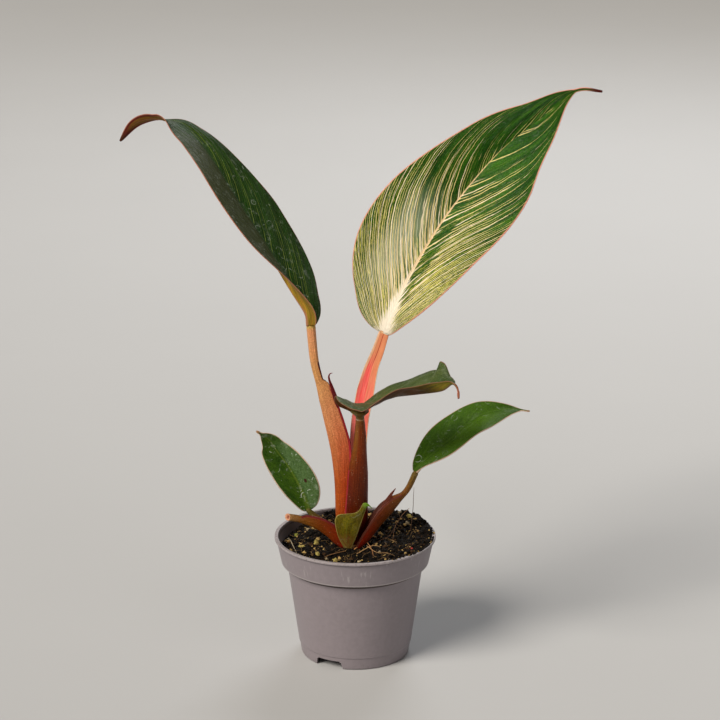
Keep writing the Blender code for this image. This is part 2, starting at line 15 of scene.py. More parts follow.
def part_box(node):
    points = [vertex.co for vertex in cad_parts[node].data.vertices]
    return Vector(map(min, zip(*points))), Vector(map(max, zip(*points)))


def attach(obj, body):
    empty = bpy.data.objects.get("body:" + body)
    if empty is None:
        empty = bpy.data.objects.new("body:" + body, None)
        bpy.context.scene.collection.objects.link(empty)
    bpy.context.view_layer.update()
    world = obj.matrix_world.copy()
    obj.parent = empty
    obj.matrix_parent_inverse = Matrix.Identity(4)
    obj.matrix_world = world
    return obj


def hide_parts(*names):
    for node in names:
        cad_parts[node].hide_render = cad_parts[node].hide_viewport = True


bl_info = {
    "name": "Potted Philodendron",
    "version": (1, 0, 0),
    "blender": (4, 5, 0),
    "location": "View3D > Sidebar > Philodendron",
    "description": "Builds a young pin-striped philodendron in a small grey nursery pot",
    "category": "Object",
}

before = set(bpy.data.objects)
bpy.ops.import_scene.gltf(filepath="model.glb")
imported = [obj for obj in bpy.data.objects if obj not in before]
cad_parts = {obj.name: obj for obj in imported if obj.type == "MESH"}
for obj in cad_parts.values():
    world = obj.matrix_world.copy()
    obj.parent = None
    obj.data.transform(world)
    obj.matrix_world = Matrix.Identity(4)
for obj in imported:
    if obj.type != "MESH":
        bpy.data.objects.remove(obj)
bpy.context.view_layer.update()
MM = 0.001
POT_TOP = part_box("nursery_pot")[1]

# The pot, as in the CAD
LIP_DROP = 0.9
LIP_OVERHANG = 0.7
COLLAR_DEPTH = 10.2
COLLAR_TAPER = 1.9
COLLAR_STEP = 2.1
BASE_RADIUS = 20.4
FOOT_HEIGHT = 4.8
FOOT_STEP = 0.25
FLOOR_HEIGHT = 3.4
NOTCH_AZIMUTHS = (-119.0, 61.0)
NOTCH_HEIGHT = 3.2
NOTCH_WIDTH = 11.5
NOTCH_FLARE = 1.6
NOTCH_DEPTH = 6.0
DRAIN_RADIUS = 2.5
DRAIN_RING = 11.0
DRAIN_COUNT = 5
COLLAR_LEVEL = 35.8
# The number of sides that the pot is turned with, and the rounding of its edges
POT_SIDES = 160
EDGE_ROUNDING = 0.16
# Fine lines on the pot, painted highlights on the lip and collar edges and painted shadow under them:
# (height, half width, strength, colour)
POT_HIGHLIGHT_AND_SHADOW_LINES = (
    (45.75, 0.5, 0.35, (0.46, 0.42, 0.41)), (44.9, 0.3, 0.55, (0.05, 0.032, 0.025)),
    (36.15, 0.4, 0.40, (0.46, 0.42, 0.41)), (34.85, 0.6, 0.9, (0.05, 0.032, 0.025)),
)

# The soil and the crown, as in the CAD
SOIL_SLOPE = (0.075, 0.02)
CROWN = (-1.6, -0.8)
CROWN_DIP = 7.5
CROWN_BANK = 3.0
# Heaps against the pot's wall: bearing and spread in degrees, and rise at HEAP_REACH from the axis
HEAPS = ((35, 45, 2.5), (112, 14, 2.7))
HEAP_REACH = 28.0
# How far from the axis crumbs may lie, fibres may start and may run, and crumbs lie on the rim; and how far
# from the crown the soil is free of crumbs
CRUMB_REACH = 28.2
FIBRE_START = 26.5
FIBRE_REACH = 27.0
RIM_MIDDLE = 29.2
BARE_CROWN = 5.5
STEM_TOP = 43.4
SHOULDER = 0.7
FOOT_LEVEL = STEM_TOP + 0.3
# How far below that level a stalk's foot goes, into the soil or stem
SUNK = 1.2

# The length of blade that the setting for rows is meant for, and where along a blade its tip curls
LONG_BLADE = 135.0
CURL_START = 0.83

# Each stalk, nearly as in the CAD: spine, facing direction of its channel, and sections of (place along the
# length, half width, depth of the back, depth of the channel, wing lift).
STALKS = {
    "petiole_right_low": {
        "spine": [(0.6, -5.0, FOOT_LEVEL), (3.6, -5.0, 47.4), (7.6, -3.8, 52.4), (11.2, -2.5, 56.3),
                  (15.1, -1.2, 60.0), (19.1, 0.0, 64.0), (22.0, 1.0, 69.5)],
        "face": (-0.75, -0.05, 0.62),
        "sections": [(0, 2.4, 1.5, 0.3, 0.4), (0.15, 2.9, 2.1, 1.0, 1.8), (0.5, 2.6, 2.1, 1.1, 2.6),
                     (0.62, 2.0, 1.7, 0.7, 2.1), (0.70, 1.3, 1.3, 0.1, 0.9), (0.76, 1.15, 1.15, -0.4, 0.1),
                     (1, 1.0, 1.0, -0.7, 0)],
    },
    "cut_petiole": {
        "spine": [(-4.2, -4.4, FOOT_LEVEL), (-8.0, -5.0, 48.3), (-12.3, -5.0, 51.6),
                  (-16.9, -5.0, 53.6), (-20.8, -5.0, 54.4), (-24.9, -5.0, 54.9)],
        "face": (0.45, 0.35, 0.85),
        "sections": [(0, 2.2, 1.5, 0.3, 0.5), (0.15, 2.7, 2.2, 1.0, 2.4), (0.45, 2.5, 2.1, 0.8, 2.3),
                     (0.72, 1.9, 1.7, 0.2, 1.4), (0.84, 1.3, 1.3, -0.8, 0), (1, 1.15, 1.1, -0.9, 0)],
    },
    "petiole_front": {
        "spine": [(0.2, -1.8, FOOT_LEVEL), (0.3, -2.8, 50.0), (0.6, -3.2, 57.0), (0.9, -3.4, 64.8),
                  (1.2, -3.7, 73.5), (1.8, -4.2, 83.8), (1.9, -4.6, 88.6), (1.8, -5.0, 94.0)],
        "face": (-0.25, 1.0, 0.1),
        "sections": [(0, 3.0, 1.5, -0.4, 0.2), (0.2, 4.3, 2.1, -0.2, 0.5), (0.55, 3.7, 2.0, -0.4, 0.3),
                     (0.75, 2.5, 1.8, -0.9, 0), (1, 1.4, 1.4, -1.0, 0)],
    },
    "petiole_left_tall": {
        "spine": [(-4.6, 0.6, FOOT_LEVEL), (-4.6, 0.6, 50.0), (-4.5, 0.6, 57.0), (-4.6, 0.7, 65.0),
                  (-5.1, 0.9, 72.5), (-6.3, 1.2, 81.2), (-8.5, 1.8, 90.7), (-11.3, 2.4, 101.0),
                  (-14.2, 3.0, 111.5), (-15.2, 3.5, 118.7), (-15.9, 4.0, 125.6)],
        "face": (1.0, 0.25, 0.1),
        "sections": [(0, 2.8, 1.7, 0.1, 0.6), (0.15, 3.4, 2.6, 0.8, 1.5), (0.34, 3.2, 2.8, 1.0, 3.1),
                     (0.46, 3.1, 2.9, 1.2, 4.0), (0.56, 2.9, 2.8, 1.2, 3.6), (0.67, 2.4, 2.4, 0.9, 3.0),
                     (0.74, 1.9, 1.9, 0.5, 1.9), (0.76, 1.75, 1.8, -0.6, 0.2), (1, 1.6, 1.6, -1.2, 0)],
    },
    "petiole_right_tall": {
        "spine": [(-0.6, 2.9, FOOT_LEVEL), (-0.3, 2.7, 52.0), (0.0, 2.8, 61.0), (0.6, 3.0, 71.0),
                  (1.2, 3.5, 81.0), (1.9, 4.0, 89.6), (3.1, 4.6, 96.4), (4.3, 5.1, 102.4),
                  (6.0, 5.5, 109.2), (8.4, 5.8, 115.6), (10.4, 6.0, 121.9)],
        "face": (-0.15, -1.0, 0.2),
        "sections": [(0, 2.6, 2.0, -0.6, 0.1), (0.2, 3.0, 2.2, 0.1, 0.4), (0.72, 3.1, 2.3, 0.3, 0.5),
                     (0.85, 2.3, 2.0, 0.2, 0.3), (1, 1.8, 1.7, 0.1, 0.1)],
    },
    "petiole_left_low": {
        "spine": [(-5.2, 4.6, FOOT_LEVEL), (-8.4, 4.9, 46.6), (-12.6, 5.4, 49.0), (-17.2, 6.0, 53.0)],
        "face": (0.2, -0.8, 0.6),
        "sections": [(0, 2.0, 1.1, -0.3, 0.2), (0.3, 1.7, 1.1, -0.3, 0.2), (1, 0.9, 0.9, -0.6, 0)],
    },
}

# Each blade, nearly as in the CAD: its two outlines are (greatest width, power of swell, power of taper),
# trimmed by the shares in trim. Its fold and its roll about the spine are in degrees, at even steps; drip is
# the share of its length that is drawn-out tip, and neck and tail widen it at the joint and towards the tip.
# It ripples in waves, its rib adds thickness, and an ear is (half, place, height, length). The cataphyll is
# given by its two edges.
BLADES = {
    "blade_right_tall": {
        "spine": [(10.5, 6.0, 122.3), (14.1, 8.0, 131.6), (23.2, 11.0, 149.0), (34.8, 14.0, 167.0),
                  (51.5, 16.0, 187.2), (65.3, 16.0, 198.9), (74.8, 15.5, 207.8), (81.3, 14.5, 211.1),
                  (88.6, 12.5, 210.8)],
        "face": (0, -1, 0.3), "roll": [20, 4, 4], "fold": [12, 20, 24, 20],
        "left": (24.9, 0.62, 1.14), "right": (22.1, 0.87, 1.07), "drip": 0.08,
        "trim": ([0.85, 0.93, 0.96, 0.96, 0.94, 0.90, 0.87, 0.88, 0.95, 1.08, 1.2],
                 [1, 0.91, 0.88, 0.91, 0.97, 1.04, 1.10, 1.10, 0.94, 0.82, 0.9]),
        "neck": 0.9, "tail": 1.1, "ripple": 0.9, "waves": 2.6, "rib": 1.7,
    },
    "blade_left_tall": {
        "spine": [(-16.0, 4.0, 125.9), (-17.0, 5.0, 131.0), (-22.7, 9.0, 139.0), (-32.9, 17.0, 153.9),
                  (-43.1, 24.0, 168.3), (-53.3, 31.0, 183.3), (-60.8, 33.8, 191.0), (-69.0, 36.0, 195.3),
                  (-75.9, 37.0, 196.0), (-81.8, 37.0, 193.6), (-86.9, 36.5, 187.4)],
        "face": (0, -1, 0.3), "fold": [18, 12, 10, 5],
        "roll": [-72, -70, -69, -67, -65, -63.5, -62, -60, -58, -56, -55, -60, -115, -140, -150],
        "left": (18.0, 0.68, 0.9), "right": (17.0, 0.8, 1.1), "drip": 0.14,
        "trim": ([0.65, 0.65, 0.83, 0.95, 0.99, 0.97, 0.94, 0.93, 0.93, 0.93, 0.95, 0.96, 0.96, 0.96, 0.96],
                 [0.87, 0.89, 1.0, 0.99, 0.95, 0.92, 0.92, 0.87, 0.81, 0.73, 0.66, 0.74, 0.74, 0.74, 0.74]),
        "fold_left": [42, 33, 22, 15, 11.8, 11.2, 11.2, 11.2, 10.2, 7.5, 5, 5, 5, 5, 5],
        "neck": 0.8, "tail": 2.4, "tail_taper": 0.6, "curled_tip": 1.5, "ripple": 0.25, "waves": 2.2,
        "rib": 1.6,
    },
    "blade_front": {
        "spine": [(1.8, -5.0, 94.4), (2.2, -5.6, 96.4), (4.4, -8.0, 98.5), (8.0, -11.0, 101.7),
                  (12.3, -14.5, 105.0), (21.7, -24.5, 109.3), (30.4, -34.5, 113.7), (34.0, -38.2, 117.2),
                  (35.9, -40.0, 115.9), (36.3, -40.5, 112.4)],
        "face": (0, 0.2, 1), "roll": [-11, -18, -23, -22, -13, -4, 12, 20],
        "fold": [53, 25, 6, 13, 25, 26, 40, 45],
        "left": (11.2, 1.09, 0.82), "right": (13.7, 0.34, 0.97), "drip": 0.1, "ear": (-1, 0.65, 3.8, 0.05),
        "neck": 0.7, "tail": 0.95, "ripple": 0.3, "waves": 2.5, "rib": 0.8,
    },
    "blade_right_low": {
        "spine": [(22.1, 1.0, 70.5), (25.6, 3.0, 73.9), (34.1, 6.0, 80.3), (42.6, 9.0, 87.2),
                  (48.5, 10.0, 90.3), (57.0, 10.0, 92.0), (64.7, 9.0, 91.4)],
        "face": (0, -1, 0.3), "roll": [53, 49, 43], "fold": [14, 14, 14, 10],
        "left": (8.6, 0.93, 1.5), "right": (11.2, 1.05, 1.0), "drip": 0.06,
        "trim": ([1], [1.0, 0.97, 0.88, 0.92, 1.04, 1.0, 1.0]),
        "neck": 0.4, "tail": 0.5, "ripple": 0.4, "waves": 2, "rib": 1.1,
    },
    "blade_left_low": {
        "spine": [(-17.2, 6.0, 53.4), (-19.9, 8.0, 60.2), (-24.7, 10.0, 68.9), (-29.5, 11.0, 75.5),
                  (-32.1, 11.0, 79.4), (-36.7, 10.0, 83.2)],
        "face": (0, -1, 0.3), "roll": [0, 5, 0], "fold": [12, 20, 20, 10],
        "left": (7.1, 0.7, 0.8), "right": (7.2, 0.62, 0.95), "drip": 0.06,
        "trim": ([0.88, 0.86, 0.88, 0.93, 0.98, 1.0, 1.0], [1.0, 1.0, 0.96, 0.93, 0.93, 0.95, 1.0]),
        "neck": 0.3, "tail": 0.9, "ripple": 0.3, "waves": 2, "rib": 1.0,
    },
    "cataphyll": {
        "edges": ([(-3.9, -8.3, 43.6), (-6.0, -9.3, 48.1), (-7.1, -9.7, 52.5), (-7.3, -9.5, 55.4),
                   (-6.1, -9.5, 57.3), (-3.3, -9.7, 57.8), (-0.8, -10.0, 58.1), (1.2, -10.1, 59.0),
                   (2.4, -10.1, 60.8), (3.1, -10.0, 62.0), (4.7, -9.6, 61.8), (6.2, -9.1, 59.9)],
                  [(-1.5, -8.3, 43.6), (0.1, -9.5, 47.9), (1.6, -9.9, 52.5), (2.9, -10.0, 56.5),
                   (3.6, -10.0, 58.7), (4.2, -9.8, 60.3), (5.1, -9.5, 60.7), (6.2, -9.1, 59.6)]),
        "bulge": 0.5,
        "rib": 0.3,
    },
}

# Colours of each blade: its ground from dark to light, flecks and lines, underside (far_under and far_edge
# near the tip), midrib, margin and tip, which begins at tip_start. Its lines are their number and how many
# show on the left and right half; cream turns on the white variegation and a painted silvery sheen, mottle is
# the strength of the flecks and seam that of the lines between veins. Its marks are the dried drops all over
# and how many more near the joint. Its edge width is that of the left and right margin; a rib's width is (at
# the joint, at the tip, share that is solid). A half tint is painted light on one half, as a greyish sheen on
# two blades and a lighter lit side on one: (0 for left or 1 for right, colour, strength); a spot is (place
# along, place across, size), and base is the colour near the joint.
LEAF_LOOKS = {
    "blade_right_tall": {
        "dark": (0.006, 0.052, 0.001), "light": (0.034, 0.130, 0.003), "fleck": (0.64, 0.59, 0.10),
        "under": (0.36, 0.34, 0.12), "rib": (0.92, 0.70, 0.40), "edge": (0.80, 0.34, 0.24),
        "tip": (0.085, 0.012, 0.008), "lines": (62, 0.84, 0.84), "cream": True, "marks": (0.12, 0.0),
        "mottle": 0.0, "edge_width": (0.22, 0.46), "tip_start": 0.962, "rib_width": (1.25, 0.16, 0.5),
    },
    "blade_left_tall": {
        "dark": (0.002, 0.026, 0.001), "light": (0.010, 0.058, 0.003), "fleck": (0.24, 0.30, 0.05),
        "under": (0.34, 0.20, 0.020), "rib": (0.030, 0.070, 0.012), "edge": (0.46, 0.18, 0.11),
        "tip": (0.10, 0.03, 0.012), "lines": (46, 0.0, 0.50), "marks": (0.65, 0.2),
        "mottle": 0.05, "edge_width": (0.28, 0.20), "tip_start": 0.97, "rib_width": (0.8, 0.25, 0.3),
        "far_under": (0.25, 0.105, 0.010), "far_edge": (0.15, 0.012, 0.008),
        # the half tint is a painted sheen: a greyish haze over the left half
        "half": (0, (0.040, 0.042, 0.012), 0.85), "spot": (0.80, 0.10, 0.006),
    },
    "blade_front": {
        "dark": (0.030, 0.060, 0.014), "light": (0.075, 0.105, 0.032), "fleck": (0.18, 0.22, 0.06),
        "under": (0.090, 0.030, 0.003), "rib": (0.14, 0.14, 0.05), "edge": (0.22, 0.10, 0.06),
        "tip": (0.40, 0.13, 0.07), "lines": (40, 0.15, 0.10), "marks": (0.25, 0.0),
        "mottle": 0.10, "edge_width": (0.12, 0.14), "tip_start": 0.90, "rib_width": (0.7, 0.3, 0.3),
        "far_under": (0.20, 0.17, 0.015),
    },
    "blade_right_low": {
        "dark": (0.029, 0.090, 0.001), "light": (0.048, 0.120, 0.004), "fleck": (0.20, 0.30, 0.05),
        "under": (0.16, 0.16, 0.04), "rib": (0.075, 0.16, 0.012), "edge": (0.66, 0.44, 0.32),
        "tip": (0.42, 0.24, 0.12), "lines": (44, 0.12, 0.12), "marks": (0.45, 0.65),
        "mottle": 0.04, "edge_width": (0.16, 0.36), "tip_start": 0.98, "rib_width": (0.9, 0.4, 0.1),
        # the half tint is painted light: the right half made lighter against the shade of its fold
        "half": (1, (0.078, 0.182, 0.006), 0.85),
    },
    "blade_left_low": {
        "dark": (0.012, 0.046, 0.001), "light": (0.036, 0.088, 0.002), "fleck": (0.14, 0.22, 0.04),
        "under": (0.34, 0.32, 0.12), "rib": (0.085, 0.135, 0.014), "edge": (0.62, 0.46, 0.34),
        "tip": (0.46, 0.26, 0.13), "lines": (36, 0.12, 0.12), "marks": (1.0, 0.4),
        "mottle": 0.08, "edge_width": (0.24, 0.26), "tip_start": 0.965, "rib_width": (1.0, 0.35, 0.1),
        # the half tint is a painted sheen: the right half lighter and greyer
        "half": (1, (0.072, 0.135, 0.046), 0.9), "spot": (0.29, 0.42, 0.016),
    },
    "cataphyll": {
        "dark": (0.075, 0.052, 0.001), "light": (0.125, 0.105, 0.003), "fleck": (0.30, 0.27, 0.05),
        "under": (0.13, 0.17, 0.018), "rib": (0.11, 0.11, 0.01), "edge": (0.30, 0.24, 0.06),
        "tip": (0.16, 0.33, 0.02), "lines": (9, 0.0, 0.0), "marks": (0.15, 0.1),
        "mottle": 0.04, "edge_width": (0.14, 0.30), "tip_start": 0.80, "rib_width": (0.2, 0.1, 0.5),
        "base": (0.17, 0.055, 0.012), "seam": 0.0, "relief": 0.0,
    },
}

# Colours of each stalk: along its back from foot to joint, inside its channel, and on its wing edges, which
# may differ low down and stop at edge_end. A band along the back is (place across, strength, tint), a groove
# is (colour, colour of the line along its bottom), and pith is (strength, colour) of the cut's middle.
STALK_LOOKS = {
    "petiole_right_low": {
        "back": [(0, (0.40, 0.030, 0.010)), (0.20, (0.22, 0.028, 0.005)), (0.35, (0.16, 0.036, 0.003)),
                 (0.60, (0.16, 0.046, 0.004)), (0.80, (0.22, 0.085, 0.010)), (1, (0.18, 0.12, 0.02))],
        "channel": (0.13, 0.024, 0.009), "edge": (0.20, 0.050, 0.028),
    },
    "cut_petiole": {
        "back": [(0, (0.32, 0.026, 0.012)), (0.22, (0.25, 0.038, 0.006)), (0.45, (0.18, 0.040, 0.003)),
                 (0.80, (0.21, 0.080, 0.008)), (0.985, (0.30, 0.17, 0.06)), (0.997, (0.80, 0.42, 0.26)),
                 (1, (0.80, 0.42, 0.26))],
        "channel": (0.085, 0.008, 0.005), "edge": (0.15, 0.015, 0.012), "pith": (0.8, (0.30, 0.06, 0.03)),
    },
    "petiole_front": {
        "back": [(0, (0.16, 0.012, 0.001)), (0.35, (0.095, 0.013, 0.001)), (0.72, (0.19, 0.026, 0.001)),
                 (0.90, (0.20, 0.035, 0.003)), (0.975, (0.20, 0.060, 0.008)), (0.982, (0.50, 0.28, 0.14)),
                 (0.989, (0.15, 0.080, 0.018)), (1, (0.13, 0.075, 0.012))],
        "channel": (0.30, 0.02, 0.02), "edge": (0.34, 0.02, 0.03), "band": (0.85, 0.9, (1.15, 2.6, 6.0)),
    },
    "petiole_left_tall": {
        "back": [(0, (0.38, 0.066, 0.006)), (0.28, (0.42, 0.080, 0.010)), (0.45, (0.56, 0.17, 0.058)),
                 (0.62, (0.64, 0.27, 0.115)), (0.8, (0.68, 0.34, 0.120)), (0.9, (0.76, 0.35, 0.150)),
                 (0.985, (0.78, 0.36, 0.17)), (1, (0.62, 0.42, 0.12))],
        "channel": (0.15, 0.008, 0.012), "edge": (0.24, 0.012, 0.016), "low_edge": (0.56, 0.040, 0.060),
        "band": (0.55, 0.9, (0.70, 0.84, 0.60)), "edge_end": 0.74,
    },
    "petiole_right_tall": {
        "back": [(0, (0.85, 0.07, 0.06)), (0.5, (0.94, 0.16, 0.10)), (0.8, (0.96, 0.30, 0.13)),
                 (0.97, (0.94, 0.30, 0.12)), (1, (0.95, 0.52, 0.28))],
        "channel": (0.95, 0.31, 0.14), "edge": (0.96, 0.56, 0.32),
        "groove": ((1.0, 0.085, 0.080), (0.36, 0.014, 0.010)),
    },
    "petiole_left_low": {
        "back": [(0, (0.18, 0.030, 0.010)), (0.6, (0.19, 0.070, 0.014)), (1, (0.12, 0.11, 0.02))],
        "channel": (0.17, 0.030, 0.012), "edge": (0.28, 0.09, 0.04),
    },
}

# How each stalk ends beyond its joint, as rings of (scale, distance, nearness to the skin): most run into
# the blade, the front one opens into a funnel under it, and the cut one is dished. The cut's slant turns
# its face towards the front.
STALK_ENDS = {
    "others": [(0.94, 0.5, 1.0), (0.75, 1.0, 1.0), (0.45, 1.3, 1.0)],
    "petiole_front": [(1.25, 0.5, 1.0), (1.7, 1.2, 1.0), (2.3, 2.1, 1.0), (1.8, 2.5, 1.0), (0.6, 2.4, 1.0)],
    "cut_petiole": [(0.93, -0.05, 1.0), (0.6, -0.1, 0.6), (0.25, -0.3, 0.2)],
}
CUT_SLANT = (0.0, 0.8, -0.2)

# Free tips of the sheaths: the stalk, the route of the tip and its width at the start.
SHEATH_TIPS = {
    "sheath_tip_left_tall": (
        "petiole_left_tall",
        [(-6.4, 0.4, 95.5), (-7.3, 0.3, 99.6), (-8.4, 0.5, 103.2), (-9.3, 0.8, 105.7), (-9.6, 1.0, 107.4),
         (-9.1, 1.0, 108.5), (-8.2, 1.0, 108.7)], 2.0),
    "sheath_tip_right_low": (
        "petiole_right_low",
        [(10.2, -3.9, 58.4), (11.9, -3.6, 60.8), (13.4, -3.2, 63.2), (15.0, -2.8, 65.3)], 2.2),
}

# Loose bits on the soil: (x, y, length, kind).
BITS = [
    (-25.2, 3.0, 2.8, "chip"), (-19.8, -1.1, 2.5, "pellet"), (-14.6, -0.1, 2.6, "pellet"),
    (-13.7, -11.2, 2.6, "pellet"), (-16.3, -11.4, 1.6, "chip"), (-7.0, -16.2, 2.6, "pellet"),
    (20.5, 14.0, 2.3, "pellet"), (19.6, 9.6, 1.9, "stone"), (7.1, 16.6, 1.8, "chip"),
    (-22.0, 9.0, 1.9, "moss"), (20.9, -11.6, 1.6, "red"), (12.5, -19.5, 1.5, "stone"),
    (-9.5, 18.5, 2.0, "chip"), (-18.0, 15.0, 1.8, "stone"), (3.5, 22.5, 2.0, "pellet"),
    (16.5, 4.5, 1.4, "chip"), (-21.0, -10.0, 1.5, "stone"), (1.5, -21.0, 1.4, "stone"),
    (17.0, 20.0, 1.6, "stone"), (-10.5, -14.5, 1.3, "stone"), (-4.0, -20.0, 1.5, "chip"),
    (9.0, -12.5, 1.3, "stone"), (23.5, 1.5, 1.5, "chip"), (13.0, 9.5, 1.6, "pellet"),
]
BIT_COLOURS = {
    "pellet": (0.50, 0.40, 0.11), "chip": (0.44, 0.26, 0.08), "stone": (0.46, 0.37, 0.22),
    "moss": (0.24, 0.24, 0.035), "red": (0.42, 0.04, 0.03),
}

# Roots and fibres that lie on the soil: route of (x, y, lift), radius and colour.
ROOTS = [
    ([(-0.5, -8.5, 0.3), (2.2, -5.5, 1.6), (4.6, -2.5, 2.4), (6.8, 0.5, 1.9), (7.6, 2.8, -0.4)], 0.28,
     (0.66, 0.28, 0.09)),
    ([(2.6, 0.5, 2.8), (4.0, -4.5, 2.4), (5.6, -9.5, 1.6), (6.4, -13.5, 0.9), (6.8, -16.5, -0.6)], 0.22,
     (0.52, 0.24, 0.10)),
    ([(0.4, -12.5, 0.2), (3.4, -10.5, 1.4), (6.2, -9.5, 1.7), (8.6, -9.3, 1.2), (10.3, -9.6, -0.4)], 0.19,
     (0.62, 0.36, 0.15)),
    ([(20.5, 17.5, 2.8), (17.6, 12.5, 2.6), (15.0, 5.5, 2.2), (14.2, -1.5, 1.0), (14.0, -5.0, -0.6)], 0.13,
     (0.40, 0.18, 0.07)),
    ([(15.2, 6.0, 2.0), (12.5, 0.0, 1.2), (8.6, -4.0, 0.9), (6.0, -5.5, -0.4)], 0.11, (0.30, 0.13, 0.05)),
    ([(-26.1, 8.3, 0.2), (-24.4, 4.0, 1.3), (-23.1, -3.1, 1.2), (-21.5, -7.0, -0.2)], 0.17,
     (0.70, 0.58, 0.38)),
    ([(-3.0, -9.5, 0.0), (-6.5, -12.5, 1.2), (-10.0, -13.5, 0.7), (-12.5, -12.5, -0.8)], 0.20,
     (0.30, 0.15, 0.06)),
    ([(4.2, -9.0, 1.9), (8.0, -15.0, 1.2), (12.0, -17.5, 1.0), (16.0, -17.0, -0.3)], 0.12,
     (0.58, 0.34, 0.15)),
]
THREAD = [(20.5, 4.0, 43.0), (20.8, 4.0, 47.0), (21.2, 4.0, 51.0), (21.6, 4.0, 55.2), (21.7, 4.0, 59.2),
          (21.9, 4.0, 63.3)]

# The stage, in metres: where the camera looks, and each light's setting, kind, place, size and colour. The
# size is the angle of the sun, in radians, and the diameter of a disk.
FLOOR_REACH = 15.0
VIEW_TARGET = (0.0018, 0.0, 0.114)
LIGHTS = (
    ("key", "SUN", (-0.75, -0.65, 0.95), 0.53, (1.0, 0.94, 0.85)),
    ("fill", "AREA", (0.9, -0.7, 0.45), 0.8, (1.0, 0.96, 0.92)),
    ("back", "AREA", (0.25, 0.9, 0.8), 0.6, (0.95, 0.97, 1.0)),
)


class PotSettings(bpy.types.PropertyGroup):
    """Sizes and colour of the nursery pot."""
    rim_radius: FloatProperty(
        name="Rim radius", description="Outer radius of the lip", unit="LENGTH", default=POT_TOP[0])
    height: FloatProperty(
        name="Height", description="Height of the pot", unit="LENGTH", default=POT_TOP[2])
    wall: FloatProperty(
        name="Wall", description="Thickness of the plastic", unit="LENGTH", default=0.0009)
    colour: FloatVectorProperty(
        name="Plastic", description="Colour of the pot", subtype="COLOR", default=(0.248, 0.214, 0.230))


class SoilSettings(bpy.types.PropertyGroup):
    """Level, grain and colour of the soil."""
    level: FloatProperty(
        name="Level", description="Height of the soil at the pot's axis", unit="LENGTH", default=0.043)
    crumbs: IntProperty(
        name="Crumbs", description="Number of loose crumbs on the soil", default=4200)
    crumb_size: FloatProperty(
        name="Crumb size", description="Width of a middling crumb", unit="LENGTH", default=0.00070)
    fibres: IntProperty(
        name="Fibres", description="Number of thin fibres in the soil", default=130)
    seed: IntProperty(name="Seed", description="Starts the random places of the crumbs", default=7)
    colour: FloatVectorProperty(
        name="Peat", description="Colour of the soil", subtype="COLOR", default=(0.009, 0.0056, 0.003))


class LeafSettings(bpy.types.PropertyGroup):
    """Thickness and variegation of the blades."""
    thickness: FloatProperty(
        name="Blade thickness", description="Thickness of a blade away from its midrib", unit="LENGTH",
        default=0.00042)
    rows: IntProperty(name="Rows", description="Rows of points along the longest blade", default=170)
    cream: FloatVectorProperty(
        name="Cream", description="Colour of the pinstripes", subtype="COLOR", default=(0.88, 0.68, 0.31))
    base: FloatVectorProperty(
        name="Base", description="Colour of the pale patch at the joint", subtype="COLOR",
        default=(0.98, 0.88, 0.72))


class StalkSettings(bpy.types.PropertyGroup):
    """Grain of the leaf stalks."""
    wing: FloatProperty(
        name="Wing thickness", description="Thickness of a sheath's wing", unit="LENGTH", default=0.0006)
    speck: FloatVectorProperty(
        name="Specks", description="Colour of the pale specks", subtype="COLOR", default=(0.75, 0.52, 0.33))


class StageSettings(bpy.types.PropertyGroup):
    """Camera, light and floor."""
    lens: FloatProperty(name="Lens", description="Focal length", unit="CAMERA", default=130)
    distance: FloatProperty(
        name="Distance", description="From the camera to its target", unit="LENGTH", default=0.948)
    elevation: FloatProperty(
        name="Elevation", description="Height of the view", subtype="ANGLE", default=math.radians(17.25))
    key: FloatProperty(name="Key light", description="Strength of the main light", default=3.6)
    fill: FloatProperty(
        name="Fill light", description="Power of the light at the right", unit="POWER", default=1.85)
    back: FloatProperty(name="Back light", description="Power of the light behind", unit="POWER", default=5.1)
    floor: FloatVectorProperty(
        name="Floor", description="Colour of the floor", subtype="COLOR", default=(0.50, 0.50, 0.50))


def smooth_path(points, count):
    """Evenly spaced points on a Catmull-Rom curve through the given points."""
    p = np.array(points, float)
    p = np.vstack([2 * p[0] - p[1], p, 2 * p[-1] - p[-2]])
    t = np.linspace(0, 1, 24, endpoint=False)[:, None]
    runs = []
    for a, b, c, d in zip(p, p[1:], p[2:], p[3:]):
        curve = 2 * b + (c - a) * t + (2 * a - 5 * b + 4 * c - d) * t**2
        runs.append(0.5 * (curve + (3 * b - a - 3 * c + d) * t**3))
    path = np.vstack(runs + [p[-2:-1]])
    run = np.r_[0, np.cumsum(np.linalg.norm(np.diff(path, axis=0), axis=1))]
    even = np.linspace(0, run[-1], count)
    return np.column_stack([np.interp(even, run, path[:, k]) for k in range(3)])


def unit(vectors):
    """The vectors at length one."""
    return vectors / np.maximum(np.linalg.norm(vectors, axis=-1, keepdims=True), 1e-9)


def keyed(values, s):
    """Values given at even steps, read along a smooth curve at the places s from 0 to 1."""
    steps = len(values) - 1
    if steps == 0:
        return values[0] + 0 * s
    padded = np.array([values[0], *values, values[-1]], float)
    start = np.minimum((s * steps).astype(int), steps - 1)
    f = s * steps - start
    a, b, c, d = (padded[start + k] for k in range(4))
    return b + f / 2 * (c - a + f * (2 * a - 5 * b + 4 * c - d + f * (3 * b - a - 3 * c + d)))


def frames(path, face, roll):
    """Tangent, side and facing direction at each point of a path, rolled by degrees."""
    tangent = unit(np.gradient(path, axis=0))
    side = unit(np.cross(tangent, np.array(face, float)))
    facing = np.cross(side, tangent)
    turn = np.radians(roll)[:, None]
    rolled_side = side * np.cos(turn) + facing * np.sin(turn)
    rolled_facing = facing * np.cos(turn) - side * np.sin(turn)
    return tangent, rolled_side, rolled_facing


def sweep(path, side, facing, across, lift):
    """Points at the given distances beside and above a path."""
    return path[:, None] + side[:, None] * across[..., None] + facing[:, None] * lift[..., None]


def circle(count):
    """Evenly spaced angles round a circle."""
    return np.linspace(0, 2 * math.pi, count, endpoint=False)


